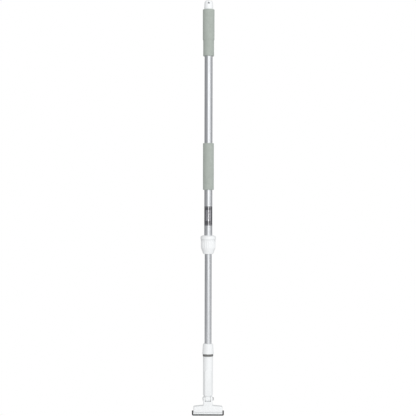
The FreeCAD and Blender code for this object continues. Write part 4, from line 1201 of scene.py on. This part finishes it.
class SQUEEGEE_OT_fasteners(bpy.types.Operator):
    """Makes the pivot bolt, its sleeve nut and the two head screws"""
    bl_idname = "squeegee.fasteners"
    bl_label = "Pivot and Screws"

    def execute(self, context):
        self.make_bolt()
        self.make_sleeve_nut()
        self.make_screws()
        return {"FINISHED"}

    def make_bolt(self):
        outside = high("pivot_bolt").x
        height = outside - EAR_OUTSIDE
        head, shank = high("pivot_bolt").y, 2 * MM
        tip, chamfer = low("pivot_bolt").x, 0.4 * MM
        corners = [
            (0, tip, 0), (shank - chamfer, tip, 0),
            (shank, tip + chamfer, 0), (shank, EAR_OUTSIDE, 0.1 * MM),
            (head, EAR_OUTSIDE, 0.2 * MM), (head, EAR_OUTSIDE + 0.55 * height, 1.4 * MM),
            (0.6 * head, outside, 0.6 * MM), (0, outside, 0)]
        outline = rounded(corners, closed=False)
        bolt = turned("pivot_bolt", outline, plated_steel("bolt_plate"), closed=False)
        hex_radius, socket_floor, above = 1.45 * MM, outside - 0.7 * height, outside + 1 * MM
        socket = turned("hex_cutter", [
            (0, socket_floor), (hex_radius, socket_floor), (hex_radius, above), (0, above)],
            segments=6, closed=False)
        combine(bolt, [socket], "DIFFERENCE")
        self.lay_across(bolt)
        take_place(bolt, "head", "pivot_bolt")

    def make_sleeve_nut(self):
        outside, inner_end = -low("pivot_sleeve_nut").x, -high("pivot_sleeve_nut").x
        head, barrel, bore = -low("pivot_sleeve_nut").y, 3 * MM, 2 * MM
        bore_end = outside - 1.5 * MM
        corners = [
            (0, bore_end, 0), (bore, bore_end, 0), (bore, inner_end, 0.2 * MM),
            (barrel, inner_end, 0.3 * MM), (barrel, EAR_OUTSIDE, 0.1 * MM), (head, EAR_OUTSIDE, 0.2 * MM),
            (head, outside, 0.8 * MM), (0, outside, 0)]
        outline = rounded(corners, closed=False)
        nut = turned("pivot_sleeve_nut", outline, plated_steel("sleeve_plate"), closed=False)
        slot = block("slot_cutter", 6 * MM, 0.6 * MM, outside - 0.7 * MM, outside + 1 * MM)
        combine(nut, [slot], "DIFFERENCE")
        turn_mesh(nut, Matrix.Rotation(math.pi, 4, "X"))
        self.lay_across(nut)
        take_place(nut, "head", "pivot_sleeve_nut")

    def lay_across(self, item):
        """Turns a fastener from Z to X and puts it on the pivot."""
        turn_mesh(item, Matrix.Translation(PIVOT) @ Matrix.Rotation(math.pi / 2, 4, "Y"))
        smooth(item, 38)

    def make_screws(self):
        lowest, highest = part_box("head_screws")
        head = (highest.z - lowest.z) / 2
        back, tip = highest.y, lowest.y
        seat, shank = back - 2.2 * MM, 1.5 * MM
        steel = plated_steel("screw_plate")
        corners = [
            (0, tip, 0), (0.8 * MM, tip + 0.4 * MM, 0), (shank, tip + 2 * MM, 0.3 * MM),
            (shank, seat, 0.1 * MM), (head, seat, 0.15 * MM), (head, seat + 1.0 * MM, 0.9 * MM),
            (0.5 * head, back, 0.6 * MM), (0, back, 0)]
        screw = turned("head_screws", rounded(corners, closed=False), steel, segments=48, closed=False)
        arm, half_slot = 0.62 * head, 0.4 * MM
        arms = [block("cross_cutter", half_x, half_y, back - 1.1 * MM, back + 1 * MM)
                for half_x, half_y in ((arm, half_slot), (half_slot, arm))]
        combine(screw, arms, "DIFFERENCE")
        turn_mesh(screw, Matrix.Rotation(-math.pi / 2, 4, "X"))
        turn_mesh(screw, Matrix.Translation(Vector((0, 0, (highest.z + lowest.z) / 2))))
        apart = highest.x - lowest.x - 2 * head
        run_tree(screw, pair_tree(steel), Count=2, Apart=apart)
        smooth(screw, 38)
        take_place(screw, "head", "head_screws")


# ---------------------------------------------------------------------- stage

def area_light(name, power, size, place, target):
    data = bpy.data.lights.new(name, "AREA")
    data.energy = power
    data.shape = "RECTANGLE"
    data.size, data.size_y = size
    light = bpy.data.objects.new(name, data)
    bpy.context.scene.collection.objects.link(light)
    light.location = place
    light.rotation_euler = (Vector(target) - Vector(place)).to_track_quat("-Z", "Y").to_euler()


class SQUEEGEE_OT_stage(bpy.types.Operator):
    """Makes the camera, the soft light and the pale floor"""
    bl_idname = "squeegee.stage"
    bl_label = "Camera, Light and Floor"

    def execute(self, context):
        setup = settings().stage
        scene = context.scene
        self.make_camera(scene, setup)
        self.make_room(scene, setup)
        middle = (0, 0, setup.height)
        area_light("key", setup.key_power, (0.28, 2.2), (0.38, -2.2, 1.2), middle)
        area_light("fill", setup.fill_power, (0.7, 2.0), (1.7, -1.0, 0.8), middle)
        self.make_floor()
        scene.view_settings.view_transform = "Standard"
        return {"FINISHED"}

    def make_camera(self, scene, setup):
        data = bpy.data.cameras.new("camera")
        data.sensor_width = 36.0
        data.lens = data.sensor_width * setup.distance / setup.field
        data.clip_start, data.clip_end = 0.05, 50
        camera = bpy.data.objects.new("camera", data)
        scene.collection.objects.link(camera)
        camera.location = (setup.sideways, -setup.distance, setup.height)
        camera.rotation_euler = (math.pi / 2, setup.lean, 0)
        scene.camera = camera

    def make_room(self, scene, setup):
        """A white room that is darker in glossy reflections and as it lights the object."""
        world = bpy.data.worlds.new("room")
        scene.world = world
        world.use_nodes = True
        world.node_tree.nodes.clear()
        nodes = Nodes(world.node_tree)
        white, cool = (1, 1, 1, 1), (0.97, 0.98, 1, 1)
        lit, shown, reflected = [
            nodes.output("ShaderNodeBackground", {"Color": colour, "Strength": strength})
            for colour, strength in ((white, setup.surround), (white, 1.0), (cool, setup.reflected))]
        path = nodes.add("ShaderNodeLightPath").outputs
        glossy = nodes.output("ShaderNodeMixShader", {0: path["Is Glossy Ray"], 1: lit, 2: reflected})
        mixed = nodes.output("ShaderNodeMixShader", {0: path["Is Camera Ray"], 1: glossy, 2: shown})
        nodes.add("ShaderNodeOutputWorld", {0: mixed})

    def make_floor(self):
        """A pale floor that throws light back up. It is clear to the camera and casts no shadow,
        so a pole that is drawn out past it still shows."""
        finish = Finish("pale_floor")
        cloud = finish.noise(0.4, 2.0)
        colour = finish.mix(finish.spread(cloud), (0.86, 0.86, 0.86, 1), (0.88, 0.88, 0.88, 1))
        finish.set(Base_Color=colour, Roughness=0.9)
        path = finish.add("ShaderNodeLightPath").outputs
        mixed = finish.output("ShaderNodeMixShader", {
            0: finish.maths("MAXIMUM", path["Is Camera Ray"], path["Is Shadow Ray"]),
            1: finish.shader.outputs["BSDF"], 2: finish.output("ShaderNodeBsdfTransparent")})
        finish.tree.links.new(mixed, finish.surface)
        side, level = 0.6, -0.2 * MM
        corners = [(-side, -side), (side, -side), (side, side), (-side, side)]
        shape = bmesh.new()
        shape.faces.new([shape.verts.new((x, y, level)) for x, y in corners])
        new_piece("floor", shape, finish.material)


# ------------------------------------------------------------ panel and set-up

MAKERS = (
    SQUEEGEE_OT_stage,
    SQUEEGEE_OT_foam_grips,
    SQUEEGEE_OT_hanging_cap,
    SQUEEGEE_OT_tubes,
    SQUEEGEE_OT_pole_label,
    SQUEEGEE_OT_twist_lock,
    SQUEEGEE_OT_coupling,
    SQUEEGEE_OT_handle,
    SQUEEGEE_OT_head_body,
    SQUEEGEE_OT_blade,
    SQUEEGEE_OT_fasteners,
)


class SQUEEGEE_PT_panel(bpy.types.Panel):
    """Lists the squeegee's pieces and their settings"""
    bl_idname = "SQUEEGEE_PT_panel"
    bl_label = "Window Squeegee"
    bl_space_type = "VIEW_3D"
    bl_region_type = "UI"
    bl_category = "Squeegee"

    def draw(self, context):
        column = self.layout.column()
        for maker in MAKERS:
            column.operator(maker.bl_idname)
        for group_name in SqueegeeSettings.__annotations__:
            group = getattr(context.scene.squeegee, group_name)
            box = self.layout.box()
            box.label(text=group_name.title())
            for setting in group.__annotations__:
                box.prop(group, setting)


CLASSES = (
    PlasticLook, MetalLook, FoamLook, RubberLook, LabelLook, LockLook, StageSetup,
    SqueegeeSettings, *MAKERS, SQUEEGEE_PT_panel,
)


def register():
    for item in CLASSES:
        bpy.utils.register_class(item)
    bpy.types.Scene.squeegee = PointerProperty(type=SqueegeeSettings)


def unregister():
    del bpy.types.Scene.squeegee
    for item in reversed(CLASSES):
        bpy.utils.unregister_class(item)


def main():
    register()
    for maker in MAKERS:
        group, action = maker.bl_idname.split(".")
        getattr(getattr(bpy.ops, group), action)()


if __name__ == "__main__":
    main()
